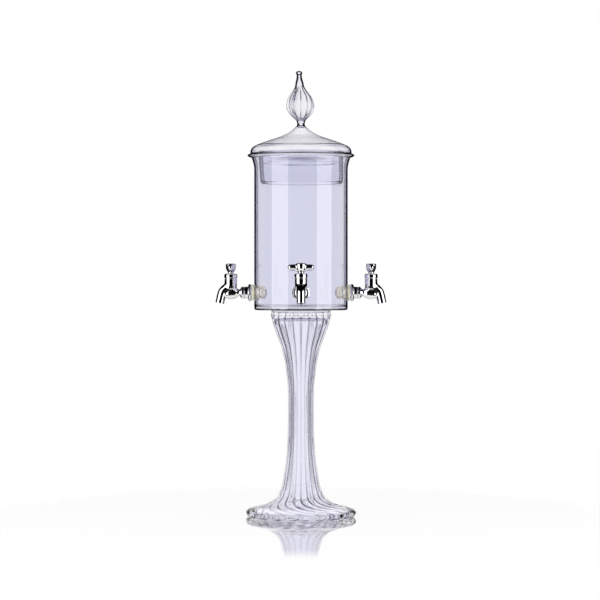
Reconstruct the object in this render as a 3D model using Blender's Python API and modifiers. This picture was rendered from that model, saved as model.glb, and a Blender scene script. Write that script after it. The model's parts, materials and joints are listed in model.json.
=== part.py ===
"""An all-glass absinthe fountain with four screw-down drip taps.

A straight glass reservoir is bonded to a hollow reeded pedestal. A loose blown lid with a reeded
finial drops into its mouth, and four chrome-plated taps are clamped through holes in its wall.
Metres, +Z up. The origin is under the middle of the foot, and the first tap faces -Y.
"""

import math

import bmesh
import bpy
from mathutils import Matrix, Vector

# Values that every piece shares
GAP = 0.0003
OVERRUN = 0.002
MERGE = 0.00001
TURN = 2.0 * math.pi
SMOOTH_ANGLE = math.radians(47.0)

# How finely round pieces are turned
GLASS_STEPS = 40
HOLLOW_STEPS = 24
STEPS_PER_REED = 3
TAP_STEPS = 12
SMALL_STEPS = 12
BORE_STEPS = 8

# Pedestal: a reeded stem between a spreading foot and a flared top
REED_COUNT = 20
PEDESTAL_HEIGHT = 0.2553
FOOT_RADIUS = 0.0690
FOOT_EDGE_HEIGHT = 0.0062
FOOT_EDGE_ROUND = 0.0030
FOOT_FLARE_HEIGHT = 0.1060
STEM_RADIUS = 0.01625
TOP_RADIUS = 0.0383
TOP_FLARE_HEIGHT = 0.0925
TOP_ROUND = 0.0024
PEDESTAL_WALL = 0.0034
CONTACT_WIDTH = 0.0070
REED_DEPTH_SHARE = 0.055
REED_FADE_START_SHARE = 0.50
REED_FADE_END_SHARE = 0.86
SWIRL_ANGLE = math.radians(9.0)
SWIRL_HEIGHT = 0.0300
WALL_THINNING_SHARE = 0.5
FOOT_EDGE_ANGLES = (62.0, 0.0)
TOP_EDGE_ANGLES = (90.0, 20.0)

# Places along the foot's flare: share of its height, and share of its spread beyond the stem
FOOT_FLARE_SHARES = (
    (1.00, 0.000), (0.74, 0.028), (0.54, 0.080), (0.40, 0.128), (0.29, 0.200),
    (0.22, 0.290), (0.17, 0.430), (0.135, 0.620), (0.102, 0.900),
)
# Places along the flared top: share of its height, and share of its spread beyond the stem
TOP_FLARE_SHARES = (
    (0.95, 1.000), (0.80, 0.760), (0.62, 0.480), (0.43, 0.262), (0.20, 0.090),
)

# Bond between the pedestal and the reservoir
BOND_THICKNESS = 0.0023
BOND_INSET = 0.0010

# Reservoir
TANK_RADIUS = 0.0584
TANK_WALL = 0.0024
TANK_HEIGHT = 0.1910
TANK_FLOOR = 0.0044
TANK_CORNER = 0.0036
FLARE_OUT = 0.0032
FLARE_HEIGHT = 0.0150
FLARE_POINTS = 4
CORNER_POINTS = 3
LIP_POINTS = 4
LID_EDGE_POINTS = 3

# Lid
LID_WALL = 0.0027
SKIRT_PLAY = 0.0034
SKIRT_TAPER = 0.0012
SKIRT_DEPTH = 0.0332
FLANGE_OVERHANG = 0.0050
FLANGE_THICKNESS = 0.0030
DRUM_SETBACK = 0.0034
DRUM_HEIGHT = 0.0035
SHOULDER_HEIGHT = 0.0078
CONE_RADIUS = 0.0545
CONE_HEIGHT = 0.0274
SHOULDER_ANGLES = (66.0, 36.0, 0.0)
NECK_RADIUS = 0.0049
# Places down the lid's cone: share of its height, and share of its spread beyond the neck
CONE_SHARES = (
    (1.00, 0.000), (0.90, 0.016), (0.74, 0.080), (0.58, 0.190), (0.43, 0.345),
    (0.25, 0.630), (0.03, 0.985),
)

# Finial: a reeded drop drawn out into a thin tip with a bead
FINIAL_REED_COUNT = 12
FINIAL_HEIGHT = 0.0655
FINIAL_RADIUS = 0.0179
FINIAL_REED_DEPTH_SHARE = 0.060
# Places down the finial: share of its height, and share of its widest radius
FINIAL_SHARES = (
    (1.000, 0.000), (0.990, 0.140), (0.965, 0.222), (0.925, 0.168), (0.850, 0.210),
    (0.735, 0.300), (0.670, 0.400), (0.570, 0.650), (0.470, 0.865), (0.380, 0.965),
    (0.300, 1.000), (0.215, 0.925), (0.140, 0.740), (0.060, 0.400),
)
FINIAL_REEDED_SHARES = (0.02, 0.72)

# Where the taps stand: heights above the reservoir's underside, reach from its wall
TAP_NAMES = ("front", "right", "back", "left")
TAP_HEIGHT = 0.0218
TAP_REACH = 0.0293

# Shank and its fixings, listed from the spindle's axis towards the reservoir
SHANK_RADIUS = 0.0043
SHANK_PROUD = 0.0016
NECK_OF_SHANK_RADIUS = 0.0039
RING_RADIUS = 0.0073
RING_LENGTH = 0.0030
RING_CONE_LENGTH = 0.0030
GROOVE_LENGTH = 0.0006
GROOVE_DEPTH = 0.0009
SOCKET_RADIUS = 0.0073
SOCKET_LENGTH = 0.0049
TAP_FLANGE_RADIUS = 0.0106
TAP_FLANGE_THICKNESS = 0.0036
TAP_FLANGE_ROUND = 0.0012
OUTER_WASHER_RADIUS = 0.0099
OUTER_WASHER_THICKNESS = 0.0031
COLLAR_WALL = 0.0011
INNER_WASHER_RADIUS = 0.0091
INNER_WASHER_SMALL_RADIUS = 0.0078
INNER_WASHER_THICKNESS = 0.0042
LOCK_NUT_SIDES = 6
LOCK_NUT_FLATS = 0.0134
LOCK_NUT_THICKNESS = 0.0068

# Barrel, belly and spout of the tap body
BARREL_RADIUS = 0.0078
BARREL_TOP = 0.0172
BARREL_TAPER_HEIGHT = 0.0090
BARREL_FOOT_RADIUS = 0.0052
BARREL_FOOT_HEIGHT = 0.0020
BELLY_HALF_LENGTH = 0.0105
BELLY_HALF_WIDTH = 0.0058
BELLY_DEPTH = 0.0081
SPOUT_RADIUS = 0.0055
SPOUT_REACH = 0.0139
SPOUT_DROP = 0.0132
SPOUT_SIDE_STEPS = 3
SPOUT_CURVE_STEPS = 2
DRAIN_SIDE_STEPS = 1
DRAIN_CURVE_STEPS = 1
PIP_RADIUS = 0.0015
PIP_TIP_RADIUS = 0.0007
PIP_LENGTH = 0.0056
PIP_TILT = math.radians(38.0)
# Points along the spout: share of its reach, and share of its drop
SPOUT_SHARES = ((0.00, 0.60), (0.46, 0.36), (0.76, 0.00), (0.89, -0.47), (1.00, -1.00))
PIP_PLACE_SHARES = (1.02, 0.05)

# Water way inside the tap
SHANK_BORE_RADIUS = 0.0018
SEAT_BORE_RADIUS = 0.0015
SEAT_HEIGHT = 0.0040
CHAMBER_RADIUS = 0.0045
SPOUT_BORE_RADIUS = 0.0018
MOUTH_RADIUS = 0.0039
MOUTH_DEPTH = 0.0038

# Pieces that close the barrel and turn in it
VALVE_WASHER_RADIUS = 0.0036
VALVE_WASHER_THICKNESS = 0.0016
SPINDLE_RADIUS = 0.00215
SPINDLE_COLLAR_LENGTH = 0.0042
SPINDLE_LIFT = 0.0009
BONNET_RADIUS = 0.0081
BONNET_HEIGHT = 0.0060
BONNET_ROUND = 0.0012
O_RING_THICKNESS = 0.0012
O_RING_SIDES = 6
HUB_RADIUS = 0.0063
HUB_HEIGHT = 0.0124
HUB_FLOOR = 0.0020
HUB_RECESS_RADIUS = 0.0030
HUB_RECESS_DEPTH = 0.0016
HUB_NECK_RADIUS = 0.0037
ARM_HALF_SPAN = 0.0161
ARM_HEIGHT_SHARE = 0.62
ARM_DROOP = 0.0012
ARM_ROOT_RADIUS = 0.0026
ARM_END_RADIUS = 0.0034
SCREW_RADIUS = 0.0012
SCREW_LENGTH = 0.0070
SCREW_HEAD_RADIUS = 0.0026
SCREW_HEAD_THICKNESS = 0.0013
# Places down the handle's hub: share of its height, and share of its spread beyond its neck
HUB_SHARES = (
    (1.00, 0.80), (0.93, 1.00), (0.62, 0.98), (0.38, 0.60), (0.20, 0.18), (0.12, 0.00), (0.00, 0.00),
)
# Places along one arm from the hub's axis: share of its span, share of its droop, share of its
# swelling from the root's radius to the end's
ARM_SHARES = (
    (0.00, 0.00, 0.0), (0.40, 0.10, 0.0), (0.68, 0.45, 0.65), (0.86, 0.85, 1.0), (0.96, 1.0, 0.8),
)
ARM_TIP_SHARE = 0.35
ARM_SIDE_STEPS = 2
ARM_CURVE_STEPS = 1

# Heights and radii that follow from the sizes above
BOND_HEIGHT = PEDESTAL_HEIGHT + GAP
TANK_BASE = BOND_HEIGHT + BOND_THICKNESS + GAP
TANK_TOP = TANK_BASE + TANK_HEIGHT
TANK_INNER_RADIUS = TANK_RADIUS - TANK_WALL
LIP_RADIUS = TANK_RADIUS + FLARE_OUT
LID_BASE = TANK_TOP + GAP
SHANK_HEIGHT = TANK_BASE + TAP_HEIGHT
BARREL_AXIS_RADIUS = TANK_RADIUS + TAP_REACH


def clear_scene():
    for old in list(bpy.data.objects):
        bpy.data.objects.remove(old, do_unlink=True)


def new_collection(name):
    made = bpy.data.collections.new(name)
    bpy.context.scene.collection.children.link(made)
    return made


def new_material(name, colour, roughness, metallic=0.0, transmission=0.0):
    made = bpy.data.materials.new(name)
    made.use_nodes = True
    made.diffuse_color = (*colour, 1.0)
    shader = made.node_tree.nodes["Principled BSDF"]
    shader.inputs["Base Color"].default_value = (*colour, 1.0)
    shader.inputs["Roughness"].default_value = roughness
    shader.inputs["Metallic"].default_value = metallic
    shader.inputs["Transmission Weight"].default_value = transmission
    return made


def linked(name, data):
    made = bpy.data.objects.new(name, data)
    PART.objects.link(made)
    return made


def turned(name, profile, steps):
    """A solid of revolution about Z. The (radius, height) points run down its outer side, and a
    profile that starts off the axis closes on itself, as a ring's does."""
    mesh = bpy.data.meshes.new(name)
    edges = [(at, at + 1) for at in range(len(profile) - 1)]
    if profile[0][0] > 0.0:
        edges.append((len(profile) - 1, 0))
    mesh.from_pydata([(radius, 0.0, height) for radius, height in profile], edges, [])
    made = linked(name, mesh)
    screw = made.modifiers.new("turn", "SCREW")
    screw.axis = "Z"
    screw.angle = TURN
    screw.steps = steps
    screw.render_steps = steps
    screw.use_merge_vertices = True
    screw.merge_threshold = MERGE
    return made


def arc(centre, radius, start, end, count):
    """Points round a centre from one angle to another, in degrees, with both ends."""
    points = []
    for at in range(count):
        angle = math.radians(start + (end - start) * at / (count - 1))
        points.append((centre[0] + radius * math.cos(angle), centre[1] + radius * math.sin(angle)))
    return points


def tube(name, points, radii, sides_level, curve_steps):
    """A round bar with filled ends along a smooth curve through the points."""
    curve = bpy.data.curves.new(name, "CURVE")
    curve.dimensions = "3D"
    curve.resolution_u = curve_steps
    curve.bevel_depth = max(radii)
    curve.bevel_resolution = sides_level
    curve.use_fill_caps = True
    spline = curve.splines.new("BEZIER")
    spline.bezier_points.add(len(points) - 1)
    for knot, place, radius in zip(spline.bezier_points, points, radii):
        knot.co = place
        knot.handle_left_type = "AUTO"
        knot.handle_right_type = "AUTO"
        knot.radius = radius / max(radii)
    return linked(name, curve)


def baked(source):
    """The object's mesh with its modifiers applied, in world space. The object is removed."""
    bpy.context.view_layer.update()
    graph = bpy.context.evaluated_depsgraph_get()
    mesh = bpy.data.meshes.new_from_object(source.evaluated_get(graph))
    mesh.transform(source.matrix_world)
    bpy.data.objects.remove(source, do_unlink=True)
    work = bmesh.new()
    work.from_mesh(mesh)
    bmesh.ops.remove_doubles(work, verts=work.verts, dist=MERGE)
    work.to_mesh(mesh)
    work.free()
    return mesh


def worked(name, base, *steps):
    """The base's mesh after each (operation, object) step. The other objects are removed."""
    solid = linked(name, baked(base))
    others = []
    for operation, other in steps:
        tool = linked(name + "_tool", baked(other))
        change = solid.modifiers.new("change", "BOOLEAN")
        change.operation = operation
        change.solver = "EXACT"
        change.object = tool
        others.append(tool)
    mesh = baked(solid)
    for tool in others:
        bpy.data.objects.remove(tool, do_unlink=True)
    return mesh


def finished(mesh, material):
    mesh.materials.clear()
    mesh.materials.append(material)
    mesh.shade_smooth()
    mesh.set_sharp_from_angle(angle=SMOOTH_ANGLE)
    return mesh


def along_x(source):
    """Lays a turned piece down so that its profile's heights run along +X."""
    source.rotation_euler = (0.0, math.pi / 2.0, 0.0)
    return source


def reed(mesh, count, depth_share, weight_at, swirl_at):
    """Draws a turned skin in between evenly spaced ribs, which keep the full radius."""
    for vertex in mesh.vertices:
        radius = math.hypot(vertex.co.x, vertex.co.y)
        if radius < MERGE:
            continue
        angle = math.atan2(vertex.co.y, vertex.co.x)
        lobe = abs(math.sin(angle * count / 2.0))
        drawn = radius * (1.0 - depth_share * weight_at(radius, vertex.co.z) * (1.0 - lobe))
        turned_by = angle + swirl_at(vertex.co.z)
        vertex.co.x = drawn * math.cos(turned_by)
        vertex.co.y = drawn * math.sin(turned_by)


def foot_profile():
    """The flare from the stem down to the foot's rounded edge."""
    spread = FOOT_RADIUS - STEM_RADIUS
    points = [
        (STEM_RADIUS + spread * out, FOOT_FLARE_HEIGHT * up) for up, out in FOOT_FLARE_SHARES
    ]
    edge = (FOOT_RADIUS - FOOT_EDGE_ROUND, FOOT_EDGE_HEIGHT)
    points += arc(edge, FOOT_EDGE_ROUND, *FOOT_EDGE_ANGLES, CORNER_POINTS)
    points.append((FOOT_RADIUS - GAP, FOOT_EDGE_HEIGHT - FOOT_EDGE_ROUND))
    points.append((FOOT_RADIUS - FOOT_EDGE_ROUND, 0.0))
    return points


def top_profile():
    """The rounded top and the flare down to the stem."""
    spread = TOP_RADIUS - STEM_RADIUS
    start = PEDESTAL_HEIGHT - TOP_FLARE_HEIGHT
    shoulder = (TOP_RADIUS - TOP_ROUND, PEDESTAL_HEIGHT - TOP_ROUND)
    points = arc(shoulder, TOP_ROUND, *TOP_EDGE_ANGLES, CORNER_POINTS)
    return points + [
        (STEM_RADIUS + spread * out, start + TOP_FLARE_HEIGHT * up) for up, out in TOP_FLARE_SHARES
    ]


def hollow_profile():
    """The pedestal's hollow, one wall inside the reeds' valleys, open under the foot."""
    valley = 1.0 - REED_DEPTH_SHARE
    upper = [
        (radius * valley - PEDESTAL_WALL, height - PEDESTAL_WALL)
        for radius, height in top_profile()[CORNER_POINTS:]
    ]
    lower = []
    for radius, height in foot_profile()[: len(FOOT_FLARE_SHARES)]:
        down = PEDESTAL_WALL * min(1.0, radius / FOOT_RADIUS + WALL_THINNING_SHARE)
        lower.append((radius * valley - PEDESTAL_WALL, height - down))
    mouth = FOOT_RADIUS - FOOT_EDGE_ROUND - CONTACT_WIDTH
    lower = [(radius, height) for radius, height in lower if radius < mouth and height > GAP]
    return [(0.0, upper[0][1])] + upper + lower + [(mouth, 0.0), (mouth, -OVERRUN), (0.0, -OVERRUN)]


def make_pedestal(glass):
    profile = [(0.0, PEDESTAL_HEIGHT)] + top_profile() + foot_profile() + [(0.0, 0.0)]
    outer = linked("pedestal", baked(turned("pedestal", profile, REED_COUNT * STEPS_PER_REED)))
    fade_start = FOOT_RADIUS * REED_FADE_START_SHARE
    fade_end = FOOT_RADIUS * REED_FADE_END_SHARE

    def weight_at(radius, height):
        if height > FOOT_FLARE_HEIGHT:
            return 1.0
        return min(1.0, max(0.0, (fade_end - radius) / (fade_end - fade_start)))

    def swirl_at(height):
        return SWIRL_ANGLE * max(0.0, 1.0 - height / SWIRL_HEIGHT) ** 2

    reed(outer.data, REED_COUNT, REED_DEPTH_SHARE, weight_at, swirl_at)
    outer.data = finished(outer.data, glass)
    hollow = turned("pedestal_hollow", hollow_profile(), HOLLOW_STEPS)
    as_cutter(hollow)
    cut = outer.modifiers.new("hollow", "BOOLEAN")
    cut.operation = "DIFFERENCE"
    cut.solver = "EXACT"
    cut.object = hollow


def as_cutter(source):
    PART.objects.unlink(source)
    CUTTERS.objects.link(source)
    source.hide_render = True
    source.display_type = "WIRE"


def make_bond(bond):
    radius = TOP_RADIUS - BOND_INSET
    top = BOND_HEIGHT + BOND_THICKNESS
    profile = [(0.0, top), (radius, top), (radius, BOND_HEIGHT), (0.0, BOND_HEIGHT)]
    linked("joint_disc", finished(baked(turned("disc", profile, GLASS_STEPS)), bond))


def flare_points(radius):
    """The wall's flare, from where it leaves the straight up to the lip."""
    points = []
    for at in range(FLARE_POINTS):
        share = at / (FLARE_POINTS - 1)
        height = TANK_TOP - TANK_WALL / 2.0 - FLARE_HEIGHT * (1.0 - share)
        points.append((radius + FLARE_OUT * share * share, height))
    return points


def make_reservoir(glass):
    floor = TANK_BASE + TANK_FLOOR
    inner = TANK_INNER_RADIUS
    lip = (LIP_RADIUS - TANK_WALL / 2.0, TANK_TOP - TANK_WALL / 2.0)
    profile = [(0.0, floor)]
    profile += arc((inner - TANK_CORNER, floor + TANK_CORNER), TANK_CORNER, -90.0, 0.0, CORNER_POINTS)
    profile += flare_points(inner)[:-1]
    profile += arc(lip, TANK_WALL / 2.0, 180.0, 0.0, LIP_POINTS)
    profile += flare_points(TANK_RADIUS)[-2::-1]
    corner = (TANK_RADIUS - TANK_CORNER, TANK_BASE + TANK_CORNER)
    profile += arc(corner, TANK_CORNER, 0.0, -90.0, CORNER_POINTS)
    profile.append((0.0, TANK_BASE))
    tank = turned("reservoir", profile, GLASS_STEPS)
    hole = SHANK_RADIUS + GAP + COLLAR_WALL + GAP
    start = TANK_INNER_RADIUS - TANK_CORNER - OVERRUN
    end = TANK_RADIUS + OVERRUN
    for at, tap in enumerate(TAP_NAMES):
        drill = along_x(cylinder(tap + "_hole", hole, start, end, TAP_STEPS))
        drill.rotation_euler.z = tap_angle(at)
        drill.location.z = SHANK_HEIGHT
        as_cutter(drill)
        cut = tank.modifiers.new(tap + "_hole", "BOOLEAN")
        cut.operation = "DIFFERENCE"
        cut.solver = "EXACT"
        cut.object = drill
    tank.data.materials.append(glass)


def make_lid(glass):
    flange = LIP_RADIUS + FLANGE_OVERHANG
    flange_top = LID_BASE + FLANGE_THICKNESS
    drum = flange - DRUM_SETBACK
    shoulder = flange_top + DRUM_HEIGHT
    cone_base = shoulder + SHOULDER_HEIGHT
    spread = CONE_RADIUS - NECK_RADIUS
    skirt = TANK_INNER_RADIUS - SKIRT_PLAY
    skirt_foot = LID_BASE - SKIRT_DEPTH
    corner = LID_WALL / 2.0
    profile = [(0.0, cone_base + CONE_HEIGHT)]
    profile += [(NECK_RADIUS + spread * out, cone_base + CONE_HEIGHT * up) for up, out in CONE_SHARES]
    round_out = drum - CONE_RADIUS
    for angle in SHOULDER_ANGLES:
        lean = math.radians(angle)
        height = shoulder + SHOULDER_HEIGHT * math.sin(lean)
        profile.append((CONE_RADIUS + round_out * math.cos(lean), height))
    profile.append((drum, flange_top))
    half = FLANGE_THICKNESS / 2.0
    profile += arc((flange - half, LID_BASE + half), half, 90.0, -90.0, LID_EDGE_POINTS)
    profile.append((skirt + LID_WALL / 2.0, LID_BASE))
    profile.append((skirt, LID_BASE - LID_WALL))
    profile += arc((skirt - SKIRT_TAPER - corner, skirt_foot + corner), corner, 0.0, -180.0, LID_EDGE_POINTS)
    inside = skirt - LID_WALL
    profile.append((inside, LID_BASE))
    profile.append((drum - LID_WALL, flange_top + LID_WALL / 2.0))
    profile.append((drum - LID_WALL, shoulder))
    profile.append((CONE_RADIUS, cone_base - LID_WALL))
    for up, out in CONE_SHARES[::-2]:
        reach = NECK_RADIUS + spread * out
        if reach > NECK_RADIUS + LID_WALL:
            profile.append((reach - LID_WALL, cone_base + CONE_HEIGHT * up - LID_WALL))
    profile.append((0.0, cone_base + CONE_HEIGHT * CONE_SHARES[2][0] - LID_WALL))
    lid = turned("lid", profile, GLASS_STEPS)
    lid.data.materials.append(glass)
    return cone_base + CONE_HEIGHT


def make_finial(glass, base):
    profile = [(FINIAL_RADIUS * out, FINIAL_HEIGHT * up) for up, out in FINIAL_SHARES]
    profile += [(NECK_RADIUS, 0.0), (0.0, 0.0)]
    mesh = baked(turned("finial", profile, FINIAL_REED_COUNT * STEPS_PER_REED))
    low = FINIAL_HEIGHT * FINIAL_REEDED_SHARES[0]
    high = FINIAL_HEIGHT * FINIAL_REEDED_SHARES[1]

    def weight_at(radius, height):
        return 1.0 if low < height < high else 0.0

    reed(mesh, FINIAL_REED_COUNT, FINIAL_REED_DEPTH_SHARE, weight_at, lambda height: 0.0)
    linked("finial", finished(mesh, glass)).location.z = base + GAP


def tap_angle(at):
    return -math.pi / 2.0 + at * math.pi / 2.0


def tank_cylinder(name, radius):
    """The reservoir's wall as a cylinder, placed as a tap's pieces see it."""
    reach = BARREL_AXIS_RADIUS
    profile = [(0.0, reach), (radius, reach), (radius, -reach), (0.0, -reach)]
    wall = turned(name, profile, GLASS_STEPS * 2)
    wall.location.x = -BARREL_AXIS_RADIUS
    return wall


def tap_body_mesh(chrome):
    """The barrel, belly, shank and spout joined, then the water way drilled through them."""
    barrel_line = [
        (0.0, BARREL_TOP), (BARREL_RADIUS, BARREL_TOP), (BARREL_RADIUS, BARREL_TAPER_HEIGHT),
        (BARREL_FOOT_RADIUS, BARREL_FOOT_HEIGHT), (0.0, 0.0),
    ]
    barrel = turned("barrel", barrel_line, TAP_STEPS)
    belly = linked("belly", bpy.data.meshes.new("belly"))
    work = bmesh.new()
    size = Matrix.Diagonal((BELLY_HALF_LENGTH, BELLY_HALF_WIDTH, BELLY_DEPTH, 1.0))
    bmesh.ops.create_uvsphere(
        work, u_segments=TAP_STEPS, v_segments=BORE_STEPS, radius=1.0, matrix=size
    )
    work.to_mesh(belly.data)
    work.free()
    shank = along_x(turned("shank", shank_profile(), TAP_STEPS))
    spout_line = [
        Vector((SPOUT_REACH * out, 0.0, SPOUT_DROP * down)) for out, down in SPOUT_SHARES
    ]
    spout_radii = [SPOUT_RADIUS] * len(spout_line)
    spout = tube("spout", spout_line, spout_radii, SPOUT_SIDE_STEPS, SPOUT_CURVE_STEPS)
    pip_line = [(0.0, PIP_LENGTH), (PIP_TIP_RADIUS, PIP_LENGTH), (PIP_RADIUS, 0.0), (0.0, 0.0)]
    pip = turned("pip", pip_line, BORE_STEPS)
    pip.location = (SPOUT_REACH * PIP_PLACE_SHARES[0], 0.0, SPOUT_DROP * PIP_PLACE_SHARES[1])
    pip.rotation_euler = (0.0, PIP_TILT, 0.0)
    bore_end = -(TAP_REACH + shank_inside())
    bore = along_x(cylinder("shank_bore", SHANK_BORE_RADIUS, bore_end - OVERRUN, 0.0, BORE_STEPS))
    seat = cylinder("seat_bore", SEAT_BORE_RADIUS, -SHANK_BORE_RADIUS / 2.0, SEAT_HEIGHT + GAP, BORE_STEPS)
    chamber = cylinder("chamber", CHAMBER_RADIUS, SEAT_HEIGHT, BARREL_TOP + OVERRUN, TAP_STEPS)
    way = (spout_line[-1] - spout_line[-2]).normalized()
    drain_line = spout_line[:-1] + [spout_line[-1] + way * OVERRUN]
    drain_radii = [SPOUT_BORE_RADIUS] * len(drain_line)
    drain = tube("drain", drain_line, drain_radii, DRAIN_SIDE_STEPS, DRAIN_CURVE_STEPS)
    mouth = cylinder("mouth", MOUTH_RADIUS, -OVERRUN, MOUTH_DEPTH, SMALL_STEPS)
    mouth.location = spout_line[-1]
    mouth.rotation_euler = (-way).to_track_quat("Z", "Y").to_euler()
    mesh = worked(
        "tap_body", barrel, ("UNION", belly), ("UNION", shank), ("UNION", spout), ("UNION", pip),
        ("DIFFERENCE", bore), ("DIFFERENCE", chamber), ("DIFFERENCE", seat),
        ("DIFFERENCE", drain), ("DIFFERENCE", mouth),
    )
    return finished(mesh, chrome)


def cylinder(name, radius, low, high, steps):
    return turned(name, [(0.0, high), (radius, high), (radius, low), (0.0, low)], steps)


def shank_inside():
    """How far the shank reaches past the wall's outer face."""
    clamped = GAP + INNER_WASHER_THICKNESS + GAP + LOCK_NUT_THICKNESS
    return TANK_WALL + clamped + SHANK_PROUD


def shank_profile():
    """From the barrel's axis towards the reservoir, along -X."""
    wall = -TAP_REACH
    flange = wall + GAP + OUTER_WASHER_THICKNESS + GAP
    socket = flange + TAP_FLANGE_THICKNESS
    groove = socket + SOCKET_LENGTH
    ring = groove + GROOVE_LENGTH
    cone = ring + RING_LENGTH
    neck = cone + RING_CONE_LENGTH
    groove_radius = SOCKET_RADIUS - GROOVE_DEPTH
    edge = TAP_FLANGE_RADIUS - TAP_FLANGE_ROUND
    return [
        (0.0, 0.0), (NECK_OF_SHANK_RADIUS, 0.0), (NECK_OF_SHANK_RADIUS, neck),
        (RING_RADIUS, cone), (RING_RADIUS, ring), (groove_radius, ring), (groove_radius, groove),
        (SOCKET_RADIUS, groove), (SOCKET_RADIUS, socket), (edge, socket),
        (TAP_FLANGE_RADIUS, socket - TAP_FLANGE_ROUND), (TAP_FLANGE_RADIUS, flange + TAP_FLANGE_ROUND),
        (edge, flange), (SHANK_RADIUS, flange), (SHANK_RADIUS, wall - shank_inside()),
        (0.0, wall - shank_inside()),
    ]


def outer_washer_mesh(rubber):
    """A disc hollowed to the tank's curve, with a collar that lines the hole in the glass."""
    bore = SHANK_RADIUS + GAP
    wall = -TAP_REACH
    face = wall + GAP + OUTER_WASHER_THICKNESS
    back = wall - OUTER_WASHER_THICKNESS
    disc = along_x(cylinder("washer", OUTER_WASHER_RADIUS, back, face, TAP_STEPS))
    tank = tank_cylinder("tank_face", TANK_RADIUS + GAP)
    collar = along_x(cylinder("collar", bore + COLLAR_WALL, wall - TANK_WALL, face - GAP, TAP_STEPS))
    hole = along_x(cylinder("washer_bore", bore, wall - TANK_WALL - OVERRUN, face + OVERRUN, TAP_STEPS))
    mesh = worked("washer", disc, ("DIFFERENCE", tank), ("UNION", collar), ("DIFFERENCE", hole))
    return finished(mesh, rubber)


def inner_washer_mesh(rubber):
    """A tapered disc whose broad face follows the inside of the tank."""
    bore = SHANK_RADIUS + GAP
    wall = -TAP_REACH - TANK_WALL
    back = wall - GAP - INNER_WASHER_THICKNESS
    profile = [
        (0.0, wall + OVERRUN), (INNER_WASHER_RADIUS, wall + OVERRUN), (INNER_WASHER_RADIUS, wall - GAP),
        (INNER_WASHER_SMALL_RADIUS, back), (0.0, back),
    ]
    disc = along_x(turned("washer", profile, TAP_STEPS))
    tank = tank_cylinder("tank_inside", TANK_INNER_RADIUS - GAP)
    hole = along_x(cylinder("washer_bore", bore, back - OVERRUN, wall + OVERRUN + OVERRUN, TAP_STEPS))
    mesh = worked("washer", disc, ("INTERSECT", tank), ("DIFFERENCE", hole))
    return finished(mesh, rubber)


def lock_nut_mesh(plastic):
    face = -TAP_REACH - TANK_WALL - GAP - INNER_WASHER_THICKNESS - GAP
    corner = LOCK_NUT_FLATS / math.sqrt(3.0)
    nut = along_x(cylinder("nut", corner, face - LOCK_NUT_THICKNESS, face, LOCK_NUT_SIDES))
    low = face - LOCK_NUT_THICKNESS - OVERRUN
    hole = along_x(cylinder("nut_bore", SHANK_RADIUS + GAP, low, face + OVERRUN, TAP_STEPS))
    return finished(worked("nut", nut, ("DIFFERENCE", hole)), plastic)


def bonnet_nut_mesh(chrome):
    """A cap on the barrel with a boss that reaches down into it and a pocket for the O-ring."""
    bore = SPINDLE_RADIUS + GAP
    pocket = bore + O_RING_THICKNESS + GAP
    base = BARREL_TOP + GAP
    top = base + BONNET_HEIGHT
    boss = spindle_collar_top() + SPINDLE_LIFT
    edge = BONNET_RADIUS - BONNET_ROUND
    pocket_top = base + O_RING_THICKNESS + GAP + GAP
    profile = [
        (bore, top), (edge, top), (BONNET_RADIUS, top - BONNET_ROUND), (BONNET_RADIUS, base),
        (CHAMBER_RADIUS - GAP, base), (CHAMBER_RADIUS - GAP, boss), (bore, boss),
        (bore, base), (pocket, base), (pocket, pocket_top), (bore, pocket_top),
    ]
    return finished(baked(turned("bonnet", profile, TAP_STEPS)), chrome)


def o_ring_mesh(rubber):
    radius = O_RING_THICKNESS / 2.0
    centre = (SPINDLE_RADIUS + GAP + radius, BARREL_TOP + GAP + GAP + radius)
    last = 360.0 / O_RING_SIDES - 360.0
    profile = arc(centre, radius, 0.0, last, O_RING_SIDES)
    return finished(baked(turned("o_ring", profile, SMALL_STEPS)), rubber)


def valve_washer_mesh(rubber):
    low = SEAT_HEIGHT + GAP
    disc = cylinder("valve", VALVE_WASHER_RADIUS, low, low + VALVE_WASHER_THICKNESS, SMALL_STEPS)
    return finished(baked(disc), rubber)


def spindle_foot():
    return SEAT_HEIGHT + GAP + VALVE_WASHER_THICKNESS + GAP


def spindle_collar_top():
    return spindle_foot() + SPINDLE_COLLAR_LENGTH


def hub_base():
    return BARREL_TOP + GAP + BONNET_HEIGHT + GAP


def spindle_top():
    return hub_base() + HUB_HEIGHT - HUB_RECESS_DEPTH - HUB_FLOOR - GAP


def screw_foot():
    return hub_base() + HUB_HEIGHT - HUB_RECESS_DEPTH + GAP - SCREW_LENGTH


def spindle_mesh(chrome):
    hole = SCREW_RADIUS + GAP
    collar = CHAMBER_RADIUS - GAP - GAP
    profile = [
        (0.0, screw_foot() - GAP), (hole, screw_foot() - GAP), (hole, spindle_top()),
        (SPINDLE_RADIUS, spindle_top()), (SPINDLE_RADIUS, spindle_collar_top()),
        (collar, spindle_collar_top()), (collar, spindle_foot()), (0.0, spindle_foot()),
    ]
    return finished(baked(turned("spindle", profile, SMALL_STEPS)), chrome)


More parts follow.
